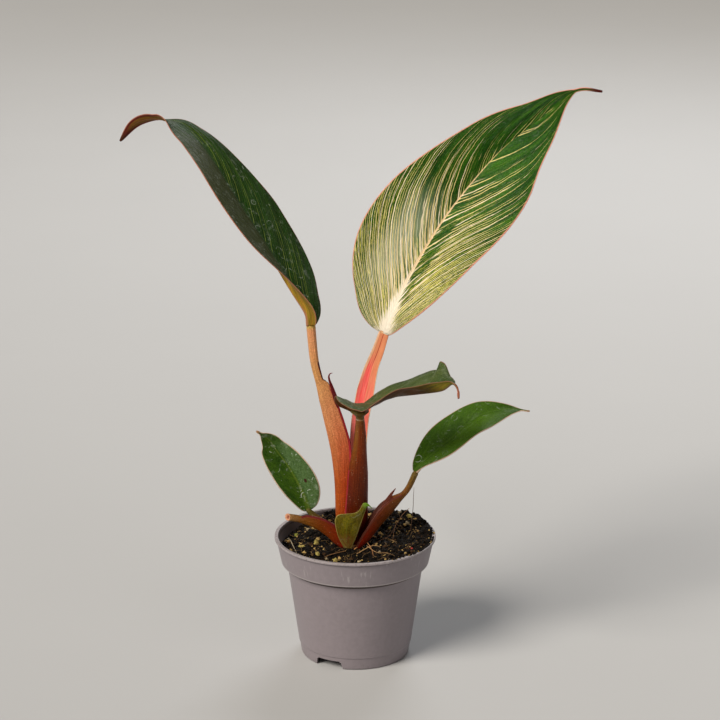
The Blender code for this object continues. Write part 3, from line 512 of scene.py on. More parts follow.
def polar(radius, angle):
    """The x and y of a point at a radius and an angle."""
    return radius * math.cos(angle), radius * math.sin(angle)


def outline(s, half, swell, taper):
    """Half width of a blade that swells from its joint and tapers to its tip."""
    peak = swell / (swell + taper)
    return half * (s / peak) ** swell * ((1 - s) / (1 - peak)) ** taper


def blade_length(leaf):
    """Length of a blade from its joint to its tip."""
    spine = leaf["spine"] if "spine" in leaf else leaf["edges"][0]
    return sum(math.dist(a, b) for a, b in zip(spine, spine[1:]))


def blade_surface(leaf, s, t):
    """Points of a blade's upper face, and its half width, at s along it and t from left to right."""
    if "edges" in leaf:
        left, right = (smooth_path(route, len(s))[:, None] for route in leaf["edges"])
        share = (1 + t[None, :, None]) / 2
        bulge = leaf["bulge"] * (1 - t**2)[None, :] * np.sin(math.pi * s)[:, None]
        half = np.linalg.norm(right - left, axis=-1) / 2 + 0 * t[None, :]
        points = left * (1 - share) + right * share - bulge[..., None] * np.array([0, 1, 0])
        return points, half
    path = smooth_path(leaf["spine"], len(s))
    _, side, facing = frames(path, leaf["face"], keyed(leaf["roll"], s))
    main = np.clip(s / (1 - leaf["drip"]), 0, 1)
    strip = leaf["neck"] * np.clip(1 - 12 * s, 0, 1) + 0.25
    strip = strip + leaf["tail"] * (1 - s) ** leaf.get("tail_taper", 0.5)
    curl = np.clip((s - CURL_START) / (1 - CURL_START), 0, 1)
    strip = strip + leaf.get("curled_tip", 0) * np.sin(math.pi * curl**0.75)
    left_trim, right_trim = leaf.get("trim", ([1], [1]))
    left = (outline(main, *leaf["left"]) * keyed(left_trim, s))[:, None]
    right = (outline(main, *leaf["right"]) * keyed(right_trim, s))[:, None]
    on_left = t[None, :] < 0
    half = np.where(on_left, left, right) + strip[:, None]
    fold_left = leaf.get("fold_left", leaf["fold"])
    fold = np.where(on_left, keyed(fold_left, s)[:, None], keyed(leaf["fold"], s)[:, None])
    fold = np.radians(fold)
    out = np.abs(t)[None, :]
    lift = half * np.sin(fold) * out * (1.35 - 0.35 * out)
    phase = 2 * math.pi * leaf["waves"] * s[:, None] + 1.7 * t[None, :]
    lift = lift + leaf["ripple"] * out**3 * np.sin(math.pi * s)[:, None] * np.sin(phase)
    if "ear" in leaf:
        half_with_ear, place, height, length = leaf["ear"]
        bump = height * np.exp(-(((s - place) / length) ** 4))[:, None]
        lift = lift + bump * np.clip(half_with_ear * t, 0, 1)[None, :] ** 3
    across = half * t[None, :] * np.cos(fold)
    return sweep(path, side, facing, across, lift), half


def grid_normals(points):
    """Directions square to a grid of points, on the upper side of a blade."""
    along = np.gradient(points, axis=0)
    across = np.gradient(points, axis=1)
    return unit(np.cross(across, along))


def new_mesh(name, points, faces):
    """A mesh over points given in millimetres."""
    mesh = bpy.data.meshes.new(name)
    mesh.from_pydata([Vector(p) * MM for p in points], [], faces)
    return mesh


def keep(mesh, mark, values):
    """Keeps three values on each point of a mesh under a name."""
    layer = mesh.attributes.new(mark, "FLOAT_VECTOR", "POINT")
    layer.data.foreach_set("vector", np.ascontiguousarray(values, np.float32).ravel())


def skin_faces(count, around, start=0):
    """Faces of a skin over rings of points, closed at both ends."""
    index = start + np.arange(count * around).reshape(count, around)
    beside = np.roll(index, -1, axis=1)
    quads = np.stack([index[:-1], beside[:-1], beside[1:], index[1:]], axis=-1).reshape(-1, 4)
    return quads.tolist() + [index[0, ::-1].tolist(), index[-1].tolist()]


def loft(name, rings, **marks):
    """A closed skin over rings of points in millimetres. Each mark is three values for its points."""
    shape = rings.shape[:2]
    mesh = new_mesh(name, rings.reshape(-1, 3), skin_faces(*shape))
    for mark, parts in marks.items():
        keep(mesh, mark, np.stack([np.broadcast_to(part, shape) for part in parts], axis=-1))
    bm = bmesh.new()
    bm.from_mesh(mesh)
    bmesh.ops.recalc_face_normals(bm, faces=bm.faces)
    bm.to_mesh(mesh)
    bm.free()
    return mesh


def new_object(name, data):
    """A new object in the scene."""
    new = bpy.data.objects.new(name, data)
    bpy.context.scene.collection.objects.link(new)
    return new


def add_piece(name, mesh, material, nodes=()):
    """Puts a piece into the scene on the plant's body, with its finish and the nodes it stands for."""
    piece = new_object(name, mesh)
    mesh.shade_smooth()
    mesh.materials.append(material)
    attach(piece, "root")
    if nodes:
        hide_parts(*nodes)


class Value:
    """A shader socket that takes part in sums, products and smooth steps as a number does."""

    def __init__(self, tree, socket):
        self.tree = tree
        self.socket = socket

    def __add__(self, other):
        return self.tree.math("ADD", self, other)

    def __sub__(self, other):
        return self.tree.math("SUBTRACT", self, other)

    def __rsub__(self, other):
        return self.tree.math("SUBTRACT", other, self)

    def __mul__(self, other):
        return self.tree.math("MULTIPLY", self, other)

    def __pow__(self, power):
        return self.tree.math("POWER", self, power)

    def __abs__(self):
        return self.tree.math("ABSOLUTE", self)

    def ease(self, low, high, start=0.0, end=1.0):
        """A smooth step from start, where the value is low, to end, where it is high."""
        values = {"Value": self, "From Min": low, "From Max": high, "To Min": start, "To Max": end}
        return self.tree.add("ShaderNodeMapRange", values, interpolation_type="SMOOTHSTEP")


class Tree:
    """Short calls that add nodes to one shader node tree."""

    def __init__(self, tree):
        self.tree = tree

    def feed(self, socket, value):
        """Links or sets one input."""
        if isinstance(value, Value):
            self.tree.links.new(value.socket, socket)
        elif socket.type == "RGBA" and len(value) == 3:
            socket.default_value = (*value, 1)
        else:
            socket.default_value = value

    def node(self, kind, values=None, **settings):
        """A new node with its settings and what its inputs take."""
        node = self.tree.nodes.new(kind)
        for key, value in settings.items():
            setattr(node, key, value)
        for key, value in (values or {}).items():
            self.feed(node.inputs[key], value)
        return node

    def add(self, kind, values=None, output=0, **settings):
        """One result of a new node."""
        return Value(self, self.node(kind, values, **settings).outputs[output])

    def math(self, operation, a, b=0.0):
        """The result of a Math node."""
        return self.add("ShaderNodeMath", {0: a, 1: b}, operation=operation)

    def mix(self, factor, a, b, blend="MIX"):
        """A mix of two colours."""
        return self.add("ShaderNodeMix", {0: factor, 6: a, 7: b}, 2, data_type="RGBA", blend_type=blend)

    def tint(self, colour, other):
        """A colour multiplied by another."""
        return self.mix(1.0, colour, other, "MULTIPLY")

    def vector(self, x, y, z=0.0):
        """A vector of three values."""
        return self.add("ShaderNodeCombineXYZ", {0: x, 1: y, 2: z})

    def split(self, vector):
        """The three values of a vector."""
        return [Value(self, part) for part in self.node("ShaderNodeSeparateXYZ", {0: vector}).outputs]

    def mark(self, name):
        """The three values kept on a mesh's points under a name."""
        return self.split(self.add("ShaderNodeAttribute", None, "Vector", attribute_name=name))

    def place_mm(self):
        """The place on the plant in millimetres."""
        place = self.add("ShaderNodeTexCoord", None, "Object")
        return self.add("ShaderNodeVectorMath", {0: place, "Scale": 1 / MM}, operation="SCALE")

    def noise(self, vector, scale=1.0, detail=2.0, roughness=0.5):
        """A soft noise from 0 to 1."""
        values = {"Vector": vector, "Scale": scale, "Detail": detail, "Roughness": roughness}
        return self.add("ShaderNodeTexNoise", values)

    def cells(self, vector, scale):
        """Distance from the nearest of scattered points."""
        return self.add("ShaderNodeTexVoronoi", {"Vector": vector, "Scale": scale}, "Distance")

    def ramp(self, value, stops):
        """A colour from a list of (place, colour) stops."""
        node = self.node("ShaderNodeValToRGB", {0: value})
        elements = node.color_ramp.elements
        while len(elements) < len(stops):
            elements.new(1)
        for element, (place, colour) in zip(elements, stops):
            element.position = place
            element.color = (*colour, 1)
        return Value(self, node.outputs[0])

    def group(self, name, **values):
        """The results of a placed node group, by name."""
        node = self.node("ShaderNodeGroup", values, node_tree=bpy.data.node_groups[name])
        return {output.name: Value(self, output) for output in node.outputs}


def make_pinstripes(tree, along, across, side, count, share, width, breaks, seed):
    """Thin lines that leave the midrib at a slant and bend along the margin, as a leaf's side veins do."""
    out = abs(across)
    wander = tree.noise(tree.vector(along * 7.0, across * 3.0, seed)) * 0.03 - 0.015
    shake = tree.noise(tree.vector(along * 26.0, across * 12.0)) * 0.006 - 0.003
    phase = along - (out * 0.10 + 0.30) * out + wander + shake
    turn = phase * count + side * 61.5 + seed
    line = tree.math("FLOOR", turn)
    part = abs(tree.math("FRACT", turn) - 0.5)
    chance = tree.add("ShaderNodeTexWhiteNoise", {"Vector": tree.vector(line, seed)}, "Value",
                      noise_dimensions="2D")
    fade = tree.noise(tree.vector(line * 3.7, out * breaks, side), 1.0, 3.0, 0.6) * 1.1 - 0.55
    strong = (share - chance + fade).ease(0.0, 0.35)
    width = width * (strong * 0.7 + 0.3) * (out * -0.55 + 1.0)
    line = part.ease(width, width * 0.35) * strong
    return {"Line": line, "Relief": part.ease(0.0, 0.5), "Phase": phase}


def make_water_marks(tree, place, amount):
    """Dried drops: pale rings, blots and specks."""
    blot = tree.cells(place, 0.22)
    patchy = tree.noise(place, 0.45, 3.0, 0.6)
    ring = blot.ease(0.26, 0.30) * blot.ease(0.36, 0.31) * patchy.ease(0.50, 0.62)
    film = tree.noise(place, 0.30, 4.0, 0.65).ease(0.55, 0.75)
    speck = tree.cells(place, 0.9).ease(0.13, 0.07) * patchy.ease(0.45, 0.60)
    return {"Mask": tree.math("MINIMUM", ring * 0.8 + film * 0.45 + speck, 1.0) * amount}


def make_grain(tree, place, scale):
    """Fine uneven grain, as a height and as a mask."""
    broad = tree.noise(place, scale * 0.12, 3.0)
    return {"Height": tree.noise(place, scale, 4.0, 0.6), "Mask": broad.ease(0.3, 0.7)}


def make_lengthwise(tree, around, along, place):
    """Streaks that run along a stalk, and small pale specks on it."""
    streak = tree.noise(tree.vector(around * 46.0, along * 0.10), 1.0, 3.0, 0.6)
    speck = tree.cells(place, 1.3).ease(0.20, 0.10) * tree.noise(place, 0.5).ease(0.45, 0.6)
    return {"Streak": streak.ease(0.25, 0.75), "Speck": speck}


def make_mottle(tree, phase, along, across, length):
    """Short dashes along a blade's side veins, streaks as long as them, and broad drifts between them."""
    phase = phase * length
    dash = tree.noise(tree.vector(phase * 1.3, along * 0.55, across), 1.0, 2.0, 0.6)
    streak = tree.noise(tree.vector(phase * 0.9, across * 1.2), 1.0, 2.0, 0.6)
    drift = tree.noise(tree.vector(phase * 0.12, across * 1.6), 1.0, 3.0)
    return {"Dash": dash.ease(0.42, 0.56), "Streak": streak, "Drift": drift.ease(0.3, 0.75)}


# The shared node groups: what builds each one, and its inputs in the same order. None stands for a place.
NODE_GROUPS = {
    "pinstripes": (make_pinstripes, {"Along": 0, "Across": 0, "Side": 0, "Count": 60, "Share": 0.5,
                                     "Width": 0.3, "Breaks": 4, "Seed": 0}),
    "water_marks": (make_water_marks, {"Place": None, "Amount": 0.3}),
    "grain": (make_grain, {"Place": None, "Scale": 1}),
    "lengthwise": (make_lengthwise, {"Around": 0, "Along": 0, "Place": None}),
    "mottle": (make_mottle, {"Phase": 0, "Along": 0, "Across": 0, "Length": 100}),
}


def make_groups():
    """Builds each shared node group once."""
    for name, (build, inputs) in NODE_GROUPS.items():
        if name in bpy.data.node_groups:
            continue
        group = bpy.data.node_groups.new(name, "ShaderNodeTree")
        for label, value in inputs.items():
            kind = "NodeSocketVector" if value is None else "NodeSocketFloat"
            socket = group.interface.new_socket(label, in_out="INPUT", socket_type=kind)
            if value is not None:
                socket.default_value = value
        tree = Tree(group)
        given = tree.node("NodeGroupInput").outputs
        results = build(tree, *(Value(tree, given[label]) for label in inputs))
        for label in results:
            group.interface.new_socket(label, in_out="OUTPUT", socket_type="NodeSocketFloat")
        tree.node("NodeGroupOutput", results)


def new_material(name, roughness, specular=0.3):
    """A Principled material with its constants set, as (material, tree, shader)."""
    make_groups()
    material = bpy.data.materials.new(name)
    material.use_nodes = True
    shader = material.node_tree.nodes["Principled BSDF"]
    shader.inputs["Roughness"].default_value = roughness
    shader.inputs["Specular IOR Level"].default_value = specular
    return material, Tree(material.node_tree), shader


def coat(tree, shader, colour, rough, height, distance, strength):
    """Feeds a shader its colour, its roughness and the relief of a height."""
    bump = {"Height": height, "Distance": distance, "Strength": strength}
    tree.feed(shader.inputs["Base Color"], colour)
    tree.feed(shader.inputs["Roughness"], rough)
    tree.feed(shader.inputs["Normal"], tree.add("ShaderNodeBump", bump))


def shaded(colour, share):
    """A colour made darker or lighter."""
    return tuple(share * part for part in colour)


def leaf_material(name, look, settings):
    """A blade's finish: mottled green ground, painted light on one half, pinstripes, midrib, margin, tip,
    marks and underside.
    """
    material, tree, shader = new_material(f"{name}_skin", 0.38, 0.12)
    s, t, upper = tree.mark("place")
    margin, rib, along = tree.mark("reach")
    side = tree.math("GREATER_THAN", t, 0.0)
    place = tree.place_mm()
    count, left, right = look["lines"]
    cream = "cream" in look
    fleck = look["fleck"]
    lines = {"Along": s, "Across": t, "Side": side}
    share = side * (right - left) + left
    if cream:
        calm = abs(t).ease(0.36, 0.18) * s.ease(0.03, 0.12) * rib.ease(0.2, 0.9) * s.ease(0.54, 0.30) * side
        share = share * s.ease(0.82, 0.30, 0.32, 1.0) + calm * -0.62 + s.ease(0.45, 0.15) * 0.24
    else:
        share = share * abs(t).ease(1.0, 0.55)
    fine = tree.group("pinstripes", **lines, Count=float(count), Share=share, Width=0.22, Breaks=5.0,
                      Seed=1.0)
    mottle = tree.group("mottle", Phase=fine["Phase"], Along=along, Across=t,
                        Length=blade_length(BLADES[name]))
    drift, dash = mottle["Drift"], mottle["Dash"]
    grain = tree.group("grain", Place=place, Scale=1.7)

    colour = tree.mix(drift, look["dark"], look["light"])
    # Painted light: one half of some blades is lightened or greyed as sheen and as a lit side
    if "half" in look:
        half, tint, strength = look["half"]
        painted_light_half = side if half else 1.0 - side
        colour = tree.mix(painted_light_half * rib.ease(0.2, 1.6, 0.0, strength) * s.ease(0.86, 0.62), colour, tint)
    rough_tone = tree.mix(grain["Height"].ease(0.36, 0.64), (0.66, 0.70, 0.60), (1.28, 1.22, 1.30))
    colour = tree.mix(dash * look["mottle"], tree.tint(colour, rough_tone), fleck)
    if cream:
        colour = stripe(tree, look, settings, colour, s, rib, share, lines, fine, mottle)
    else:
        colour = tree.mix(fine["Line"] * 0.8, colour, fleck)
        colour = tree.mix((1.0 - fine["Relief"]) ** 4.0 * look.get("seam", 0.12), colour, fleck)

    wide, narrow, solid = look["rib_width"]
    slim = (1.0 - s) ** 2.5 * wide + narrow
    vein = rib.ease(slim, slim * solid) * s.ease(*((0.74, 0.56) if cream else (0.97, 0.80)))
    rib_colour = look["rib"]
    if cream:
        vein = vein * tree.noise(tree.vector(along * 0.8, rib * 5.0)).ease(0.30, 0.50, 0.55, 1.0)
        rim = rib.ease(slim * 0.45, slim * 0.8) * 0.9
        crease = rib.ease(slim * 0.26, slim * 0.10) * 0.6
        rib_colour = tree.mix(s.ease(0.78, 0.45), fleck, rib_colour)
        rib_colour = tree.mix(tree.math("MAXIMUM", rim, crease), rib_colour, (0.62, 0.33, 0.16))
        rib_colour = tree.mix(s.ease(0.28, 0.05), rib_colour, tuple(settings.base))
    colour = tree.mix(vein, colour, rib_colour)
    if "base" in look:
        low = (dash * 0.10 + s).ease(0.36, 0.16)
        colour = tree.mix(low, colour, tree.mix(dash * 0.6, look["base"], fleck))
    few, more = look["marks"]
    marks = tree.group("water_marks", Place=place, Amount=s.ease(0.35, 0.10, few, few + more))["Mask"]
    colour = tree.mix(marks * 0.75, colour, (0.52, 0.58, 0.48))
    if "spot" in look:
        spot_s, spot_t, size = look["spot"]
        away = tree.math("SQRT", (s - spot_s) ** 2.0 + (t - spot_t) ** 2.0 * 0.09)
        colour = tree.mix(away.ease(size * 1.6, size), colour, (0.045, 0.012, 0.008))

    below = tree.mix(s.ease(0.58, 0.90), look["under"], look.get("far_under", look["under"]))
    below = tree.tint(below, tree.mix(drift, (0.6, 0.6, 0.6), (1.2, 1.2, 1.2)))
    streak = mottle["Streak"].ease(0.42, 0.58)
    below = tree.tint(below, tree.mix(streak, (0.62, 0.86, 0.60), (1.20, 0.98, 1.05)))
    below = tree.mix(fine["Line"] * 0.4, below, fleck)
    below = tree.mix(vein * 0.7, below, look["edge"])
    if "far_edge" in look:
        red = tree.math("MAXIMUM", margin.ease(1.3, 0.5) * s.ease(0.80, 0.86), s.ease(0.93, 0.975))
        below = tree.mix(red, below, look["far_edge"])
    colour = tree.mix(upper.ease(0.4, 0.6), below, colour)

    left, right = look["edge_width"]
    width = (side * (right - left) + left) * s.ease(1.0, 0.5, 0.5, 1.0)
    edge = (drift * 0.15 + margin).ease(width + 0.18, width * 0.6)
    colour = tree.mix(edge * 0.9, colour, look["edge"])
    start = look["tip_start"]
    colour = tree.mix((drift * 0.02 + s).ease(start, start * 0.4 + 0.606), colour, look["tip"])
    rough = grain["Mask"] * 0.12 + 0.30 + marks * 0.25 + upper.ease(0.6, 0.4, 0.0, 0.15)
    height = grain["Height"] * 0.25 + fine["Relief"] * look.get("relief", 0.25) + dash * 0.2
    coat(tree, shader, colour, rough, height, 0.0003, 0.9)
    return material


def stripe(tree, look, settings, colour, s, rib, share, lines, fine, mottle):
    """Adds yellow-green dashes, a silvery painted sheen, cream pinstripes and the streaky white base to a
    blade.
    """
    cream, white, fleck = tuple(settings.cream), tuple(settings.base), look["fleck"]
    side, dash, streak = lines["Side"], mottle["Dash"], mottle["Streak"]

    def ruled(density, amount, width, breaks, seed):
        return tree.group("pinstripes", **lines, Count=look["lines"][0] * density, Share=amount, Width=width,
                          Breaks=breaks, Seed=seed)["Line"]

    near = tree.math("MINIMUM", share, 1.0) * s.ease(0.62, 0.12, 0.08, 1.0)
    warm = dash * streak.ease(0.49, 0.58) * near
    low_right = side * s.ease(0.42, 0.12) * rib.ease(4.0, 9.0, 0.0, 0.7) * dash
    colour = tree.mix(tree.math("MAXIMUM", warm, low_right), colour, fleck)
    # Painted highlight: a silvery sheen over the lower left half
    painted_sheen = s.ease(0.48, 0.30) * s.ease(0.06, 0.20) * rib.ease(19.0, 11.0, 0.0, 0.75)
    painted_sheen = painted_sheen * rib.ease(2.0, 8.0, 0.3, 1.0) * (1.0 - side) * streak.ease(0.40, 0.60, 0.5, 1.0)
    colour = tree.mix(painted_sheen, colour, (0.52, 0.55, 0.40))
    thin = ruled(1.7, near * 0.6, 0.26, 20.0, 5.0)
    colour = tree.mix(thin * 0.35, colour, fleck)
    pale = s.ease(0.52, 0.12) * rib.ease(16.0, 3.0, 0.30, 1.15) * (side * -0.5 + 1.0)
    colour = tree.mix(ruled(0.6, pale, 0.24, 6.0, 2.0) * 0.9, colour, tree.mix(0.5, cream, white))
    warmer = tree.mix(s.ease(0.68, 0.22), tree.mix(0.45, cream, fleck), cream)
    colour = tree.mix(fine["Line"], colour, warmer)
    bold = ruled(0.52, share * s.ease(0.85, 0.32, 0.40, 1.0), 0.15, 5.0, 9.0)
    colour = tree.mix(bold, colour, tree.mix(s.ease(0.60, 0.25, 0.35, 0.80), cream, white))
    fan = (rib * 0.060 + s + streak * 0.62).ease(0.53, 0.49)
    return tree.mix(fan * (thin * -0.45 + 1.0), colour, white)


def stalk_material(name, look, settings):
    """A stalk's finish: colours along its back, darker channel, thin wing edges, streaks and specks, and
    painted light and painted highlights in the groove.
    """
    material, tree, shader = new_material(f"{name}_skin", 0.4, 0.16)
    s, around, inside = tree.mark("place")
    edge, along, across = tree.mark("reach")
    place = tree.place_mm()
    grain = tree.group("grain", Place=place, Scale=2.6)
    lines = tree.group("lengthwise", Around=around, Along=along, Place=place)
    streak = lines["Streak"]
    colour = tree.tint(tree.ramp(s, look["back"]), tree.mix(streak, (0.80, 0.74, 0.68), (1.06, 1.08, 1.08)))
    rosy = abs(across).ease(0.40, 0.95) * s.ease(0.72, 0.35, 0.15, 0.8)
    colour = tree.mix(rosy, colour, tree.tint(colour, (1.0, 0.58, 0.62)))
    if "band" in look:
        middle, strength, tint = look["band"]
        band = abs(across - middle).ease(0.50, 0.10) * s.ease(0.52, 0.74, 0.0, strength)
        colour = tree.mix(band * s.ease(0.98, 0.86, 0.3, 1.0), colour, tree.tint(colour, tint))
    pitted = tree.noise(place, 3.2, 3.0, 0.65).ease(0.42, 0.60)
    colour = tree.tint(colour, tree.mix(pitted, (0.70, 0.68, 0.62), (1.16, 1.20, 1.22)))
    colour = tree.mix(lines["Speck"] * 0.45, colour, tuple(settings.speck))

    inner = tree.mix(streak * 0.5, shaded(look["channel"], 0.7), look["channel"])
    if "groove" in look:
        deep, line = look["groove"]
        pale = tree.mix(streak * 0.7, look["channel"], look["edge"])
        # Painted light: the groove is made brighter low down, where it lies in shade
        deep = tree.mix(s.ease(0.64, 0.56), deep, (1.0, 0.20, 0.17))
        # Painted highlights: pinkish streaks over the groove's red
        deep = tree.mix(streak * 0.55, deep, (0.97, 0.34, 0.27))
        inner = tree.mix(s.ease(0.93, 0.80) * across.ease(0.25, -0.05), tree.mix(0.25, inner, pale), deep)
        shadow = tree.mix(streak, (0.84, 0.14, 0.11), (0.96, 0.27, 0.19))
        inner = tree.mix(s.ease(0.90, 0.64) * across.ease(0.0, 0.3), inner, shadow)
        inner = tree.mix(across.ease(-0.62, -0.85) * s.ease(0.72, 0.84), inner, look["edge"])
        crack = abs(across + 0.02).ease(0.10, 0.03) * s.ease(0.80, 0.90)
        inner = tree.mix(crack * 0.8, inner, line)
    colour = tree.mix(inside.ease(0.45, 0.6), colour, inner)

    edge_end = look.get("edge_end", 1.1)
    edge_colour = tree.mix(s.ease(0.50, 0.38), look["edge"], look.get("low_edge", look["edge"]))
    colour = tree.mix(edge.ease(0.20, 0.05) * s.ease(edge_end, edge_end - 0.05), colour, edge_colour)
    if "pith" in look:
        strength, tint = look["pith"]
        colour = tree.mix(s.ease(0.996, 0.999) * across.ease(0.75, 0.35) * strength, colour, tint)
    height = streak * 0.8 + grain["Height"] * 0.3
    coat(tree, shader, colour, grain["Mask"] * 0.16 + 0.28, height, 0.00022, 0.8)
    return material


def plastic_material(settings):
    """Satin grey plastic with soft mottling, scuffs on the collar, crumbs of soil dust, painted highlight and
    shadow lines at the lip and collar, and painted shade inside the wall.
    """
    material, tree, shader = new_material("pot_plastic", 0.46, 0.35)
    place = tree.place_mm()
    x, y, z = tree.split(place)
    angle = tree.math("ARCTAN2", y, x)
    grain = tree.group("grain", Place=place, Scale=5.0)
    colour = tree.mix(grain["Mask"], shaded(settings.colour, 0.93), tuple(settings.colour))
    rub = tree.noise(tree.vector(angle * 22.0, z * 0.16), 1.0, 3.0)
    scuff = rub.ease(0.60, 0.72) * z.ease(35.0, 36.0)
    colour = tree.mix(scuff * 0.35, colour, (0.46, 0.44, 0.43))
    # Painted highlight lines on the lip and collar edges, and painted shadow lines under them
    for height, wide, strength, tint in POT_HIGHLIGHT_AND_SHADOW_LINES:
        colour = tree.mix(abs(z - height).ease(wide, 0.4 * wide, 0.0, strength), colour, tint)
    dust = tree.noise(place, 1.1, 4.0, 0.7).ease(0.54, 0.66)
    dust = dust * (z.ease(43.5, 46.2, 0.0, 0.60) + z.ease(3.0, 0.0, 0.0, 0.35))
    colour = tree.mix(dust, colour, (0.055, 0.035, 0.022))
    # Painted shade: the pot's inner surfaces, inside its outer skin, are darkened
    skin = tree.math("MINIMUM", z, COLLAR_LEVEL) * 0.137 + BASE_RADIUS
    skin = skin + z.ease(COLLAR_LEVEL - 0.3, COLLAR_LEVEL, 0.0, 2.0)
    skin = skin + tree.math("MAXIMUM", z - COLLAR_LEVEL, 0.0) * 0.2
    painted_shade_inside = (skin - tree.math("SQRT", x * x + y * y)).ease(0.4, 0.8)
    colour = tree.mix(painted_shade_inside * 0.55, colour, (0.05, 0.035, 0.028))
    flow = tree.noise(tree.vector(angle * 9.0, z * 0.05))
    rough = grain["Mask"] * 0.08 + 0.40 + scuff * 0.2
    coat(tree, shader, colour, rough, grain["Height"] * 0.2 + flow, 0.00012, 0.6)
    return material


def soil_material(settings):
    """Damp peat: near black with brown and rusty crumbs."""
    material, tree, shader = new_material("damp_peat", 0.85, 0.15)
    place = tree.place_mm()
    crumb = tree.noise(place, 0.9, 5.0, 0.7)
    fleck = tree.cells(place, 0.8).ease(0.22, 0.12) * tree.noise(place, 0.35).ease(0.5, 0.62)
    tone = tree.mark("tone")[0]
    colour = tree.mix(crumb.ease(0.35, 0.75), shaded(settings.colour, 0.2), shaded(settings.colour, 1.4))
    colour = tree.mix(fleck * 0.8, colour, (0.20, 0.11, 0.035))
    colour = tree.mix(tone.ease(0.76, 0.92), colour, (0.055, 0.026, 0.010))
    colour = tree.mix(tone.ease(0.930, 0.935), colour, (0.56, 0.37, 0.13))
    height = tree.group("grain", Place=place, Scale=4.0)["Height"]
    coat(tree, shader, colour, crumb.ease(0.3, 0.7, 0.55, 0.95), height, 0.0004, 1.0)
    return material


def fibre_material(name, low, high, roughness):
    """Root, bark or stone bits: two tones with a rough grain."""
    material, tree, shader = new_material(name, roughness)
    grain = tree.group("grain", Place=tree.place_mm(), Scale=3.5)
    colour = tree.mix(grain["Height"].ease(0.35, 0.65), low, high)
    coat(tree, shader, colour, grain["Mask"] * 0.15 + (roughness - 0.05), grain["Height"], 0.0002, 0.9)
    return material


def baked(obj):
    """A plain mesh of an object as its modifiers leave it."""
    graph = bpy.context.evaluated_depsgraph_get()
    return bpy.data.meshes.new_from_object(obj.evaluated_get(graph))


def rounded(profile, radius):
    """A profile with each inner corner replaced by a small arc between two close supports."""
    points = [np.array(profile[0], float)]
    for before, corner, after in zip(profile, profile[1:], profile[2:]):
        before, corner, after = (np.array(p, float) for p in (before, corner, after))
        come, go = corner - before, after - corner
        room = 0.42 * min(np.linalg.norm(come), np.linalg.norm(go))
        cut, support = min(radius, 0.6 * room), min(1.7 * radius, room)
        start, end = corner - unit(come) * cut, corner + unit(go) * cut
        points.append(corner - unit(come) * support)
        for k in (0, 0.33, 0.67, 1):
            points.append((1 - k) ** 2 * start + 2 * k * (1 - k) * corner + k**2 * end)
        points.append(corner + unit(go) * support)
    return np.array(points + [np.array(profile[-1], float)])


def turned(name, profile, sides):
    """A mesh turned about Z from a profile of (radius, height) whose two ends lie on the axis."""
    rings = [[(*polar(radius, angle), z) for angle in circle(sides)] for radius, z in profile[1:-1]]
    points = [(0, 0, profile[0][1]), (0, 0, profile[-1][1])] + [p for ring in rings for p in ring]
    faces = []
    for i in range(sides):
        j = (i + 1) % sides
        faces.append((0, 2 + i, 2 + j))
        last = 2 + (len(rings) - 1) * sides
        faces.append((1, last + j, last + i))
        for ring in range(len(rings) - 1):
            low = 2 + ring * sides
            faces.append((low + i, low + sides + i, low + sides + j, low + j))
    return new_mesh(name, points, faces)


def pot_sizes():
    """The pot's rim radius, height and wall in millimetres."""
    pot = bpy.context.scene.philodendron_pot
    return pot.rim_radius / MM, pot.height / MM, pot.wall / MM


def pot_radius(height):
    """Outer radius of the pot's body between its foot and its collar."""
    rim, tall, _ = pot_sizes()
    top = rim - LIP_OVERHANG - COLLAR_TAPER - COLLAR_STEP
    return BASE_RADIUS + (top - BASE_RADIUS) * height / (tall - COLLAR_DEPTH)


def well_radius(height):
    """Inner radius of the pot's collar at a height."""
    rim, tall, wall = pot_sizes()
    low = tall - COLLAR_DEPTH + wall
    rise = (height - low) / (tall - LIP_DROP - low)
    return rim - LIP_OVERHANG - wall - COLLAR_TAPER * (1 - rise)


def soil_height(x, y, detail=1.0):
    """Height of the crumbly soil surface, which dips around the crown."""
    level = bpy.context.scene.philodendron_soil.level / MM
    level += SOIL_SLOPE[0] * x + SOIL_SLOPE[1] * y
    place = Vector((x, y, 0))
    height = level + noise.noise(place / 4.5) + 0.5 * noise.noise(place / 2.0)
    height += detail * (0.42 * noise.noise(place / 0.9) + 0.28 * noise.noise(place / 0.45))
    for bearing, spread, rise in HEAPS:
        turn = math.degrees(math.atan2(y, x)) - bearing
        turn = (turn + 180) % 360 - 180
        height += rise * math.exp(-((turn / spread) ** 2)) * (math.hypot(x, y) / HEAP_REACH) ** 2
    near = math.hypot(x - CROWN[0], y - CROWN[1]) / CROWN_DIP
    limit = STEM_TOP - SHOULDER + CROWN_BANK * max(0.0, near - 1)
    return min(height, limit)


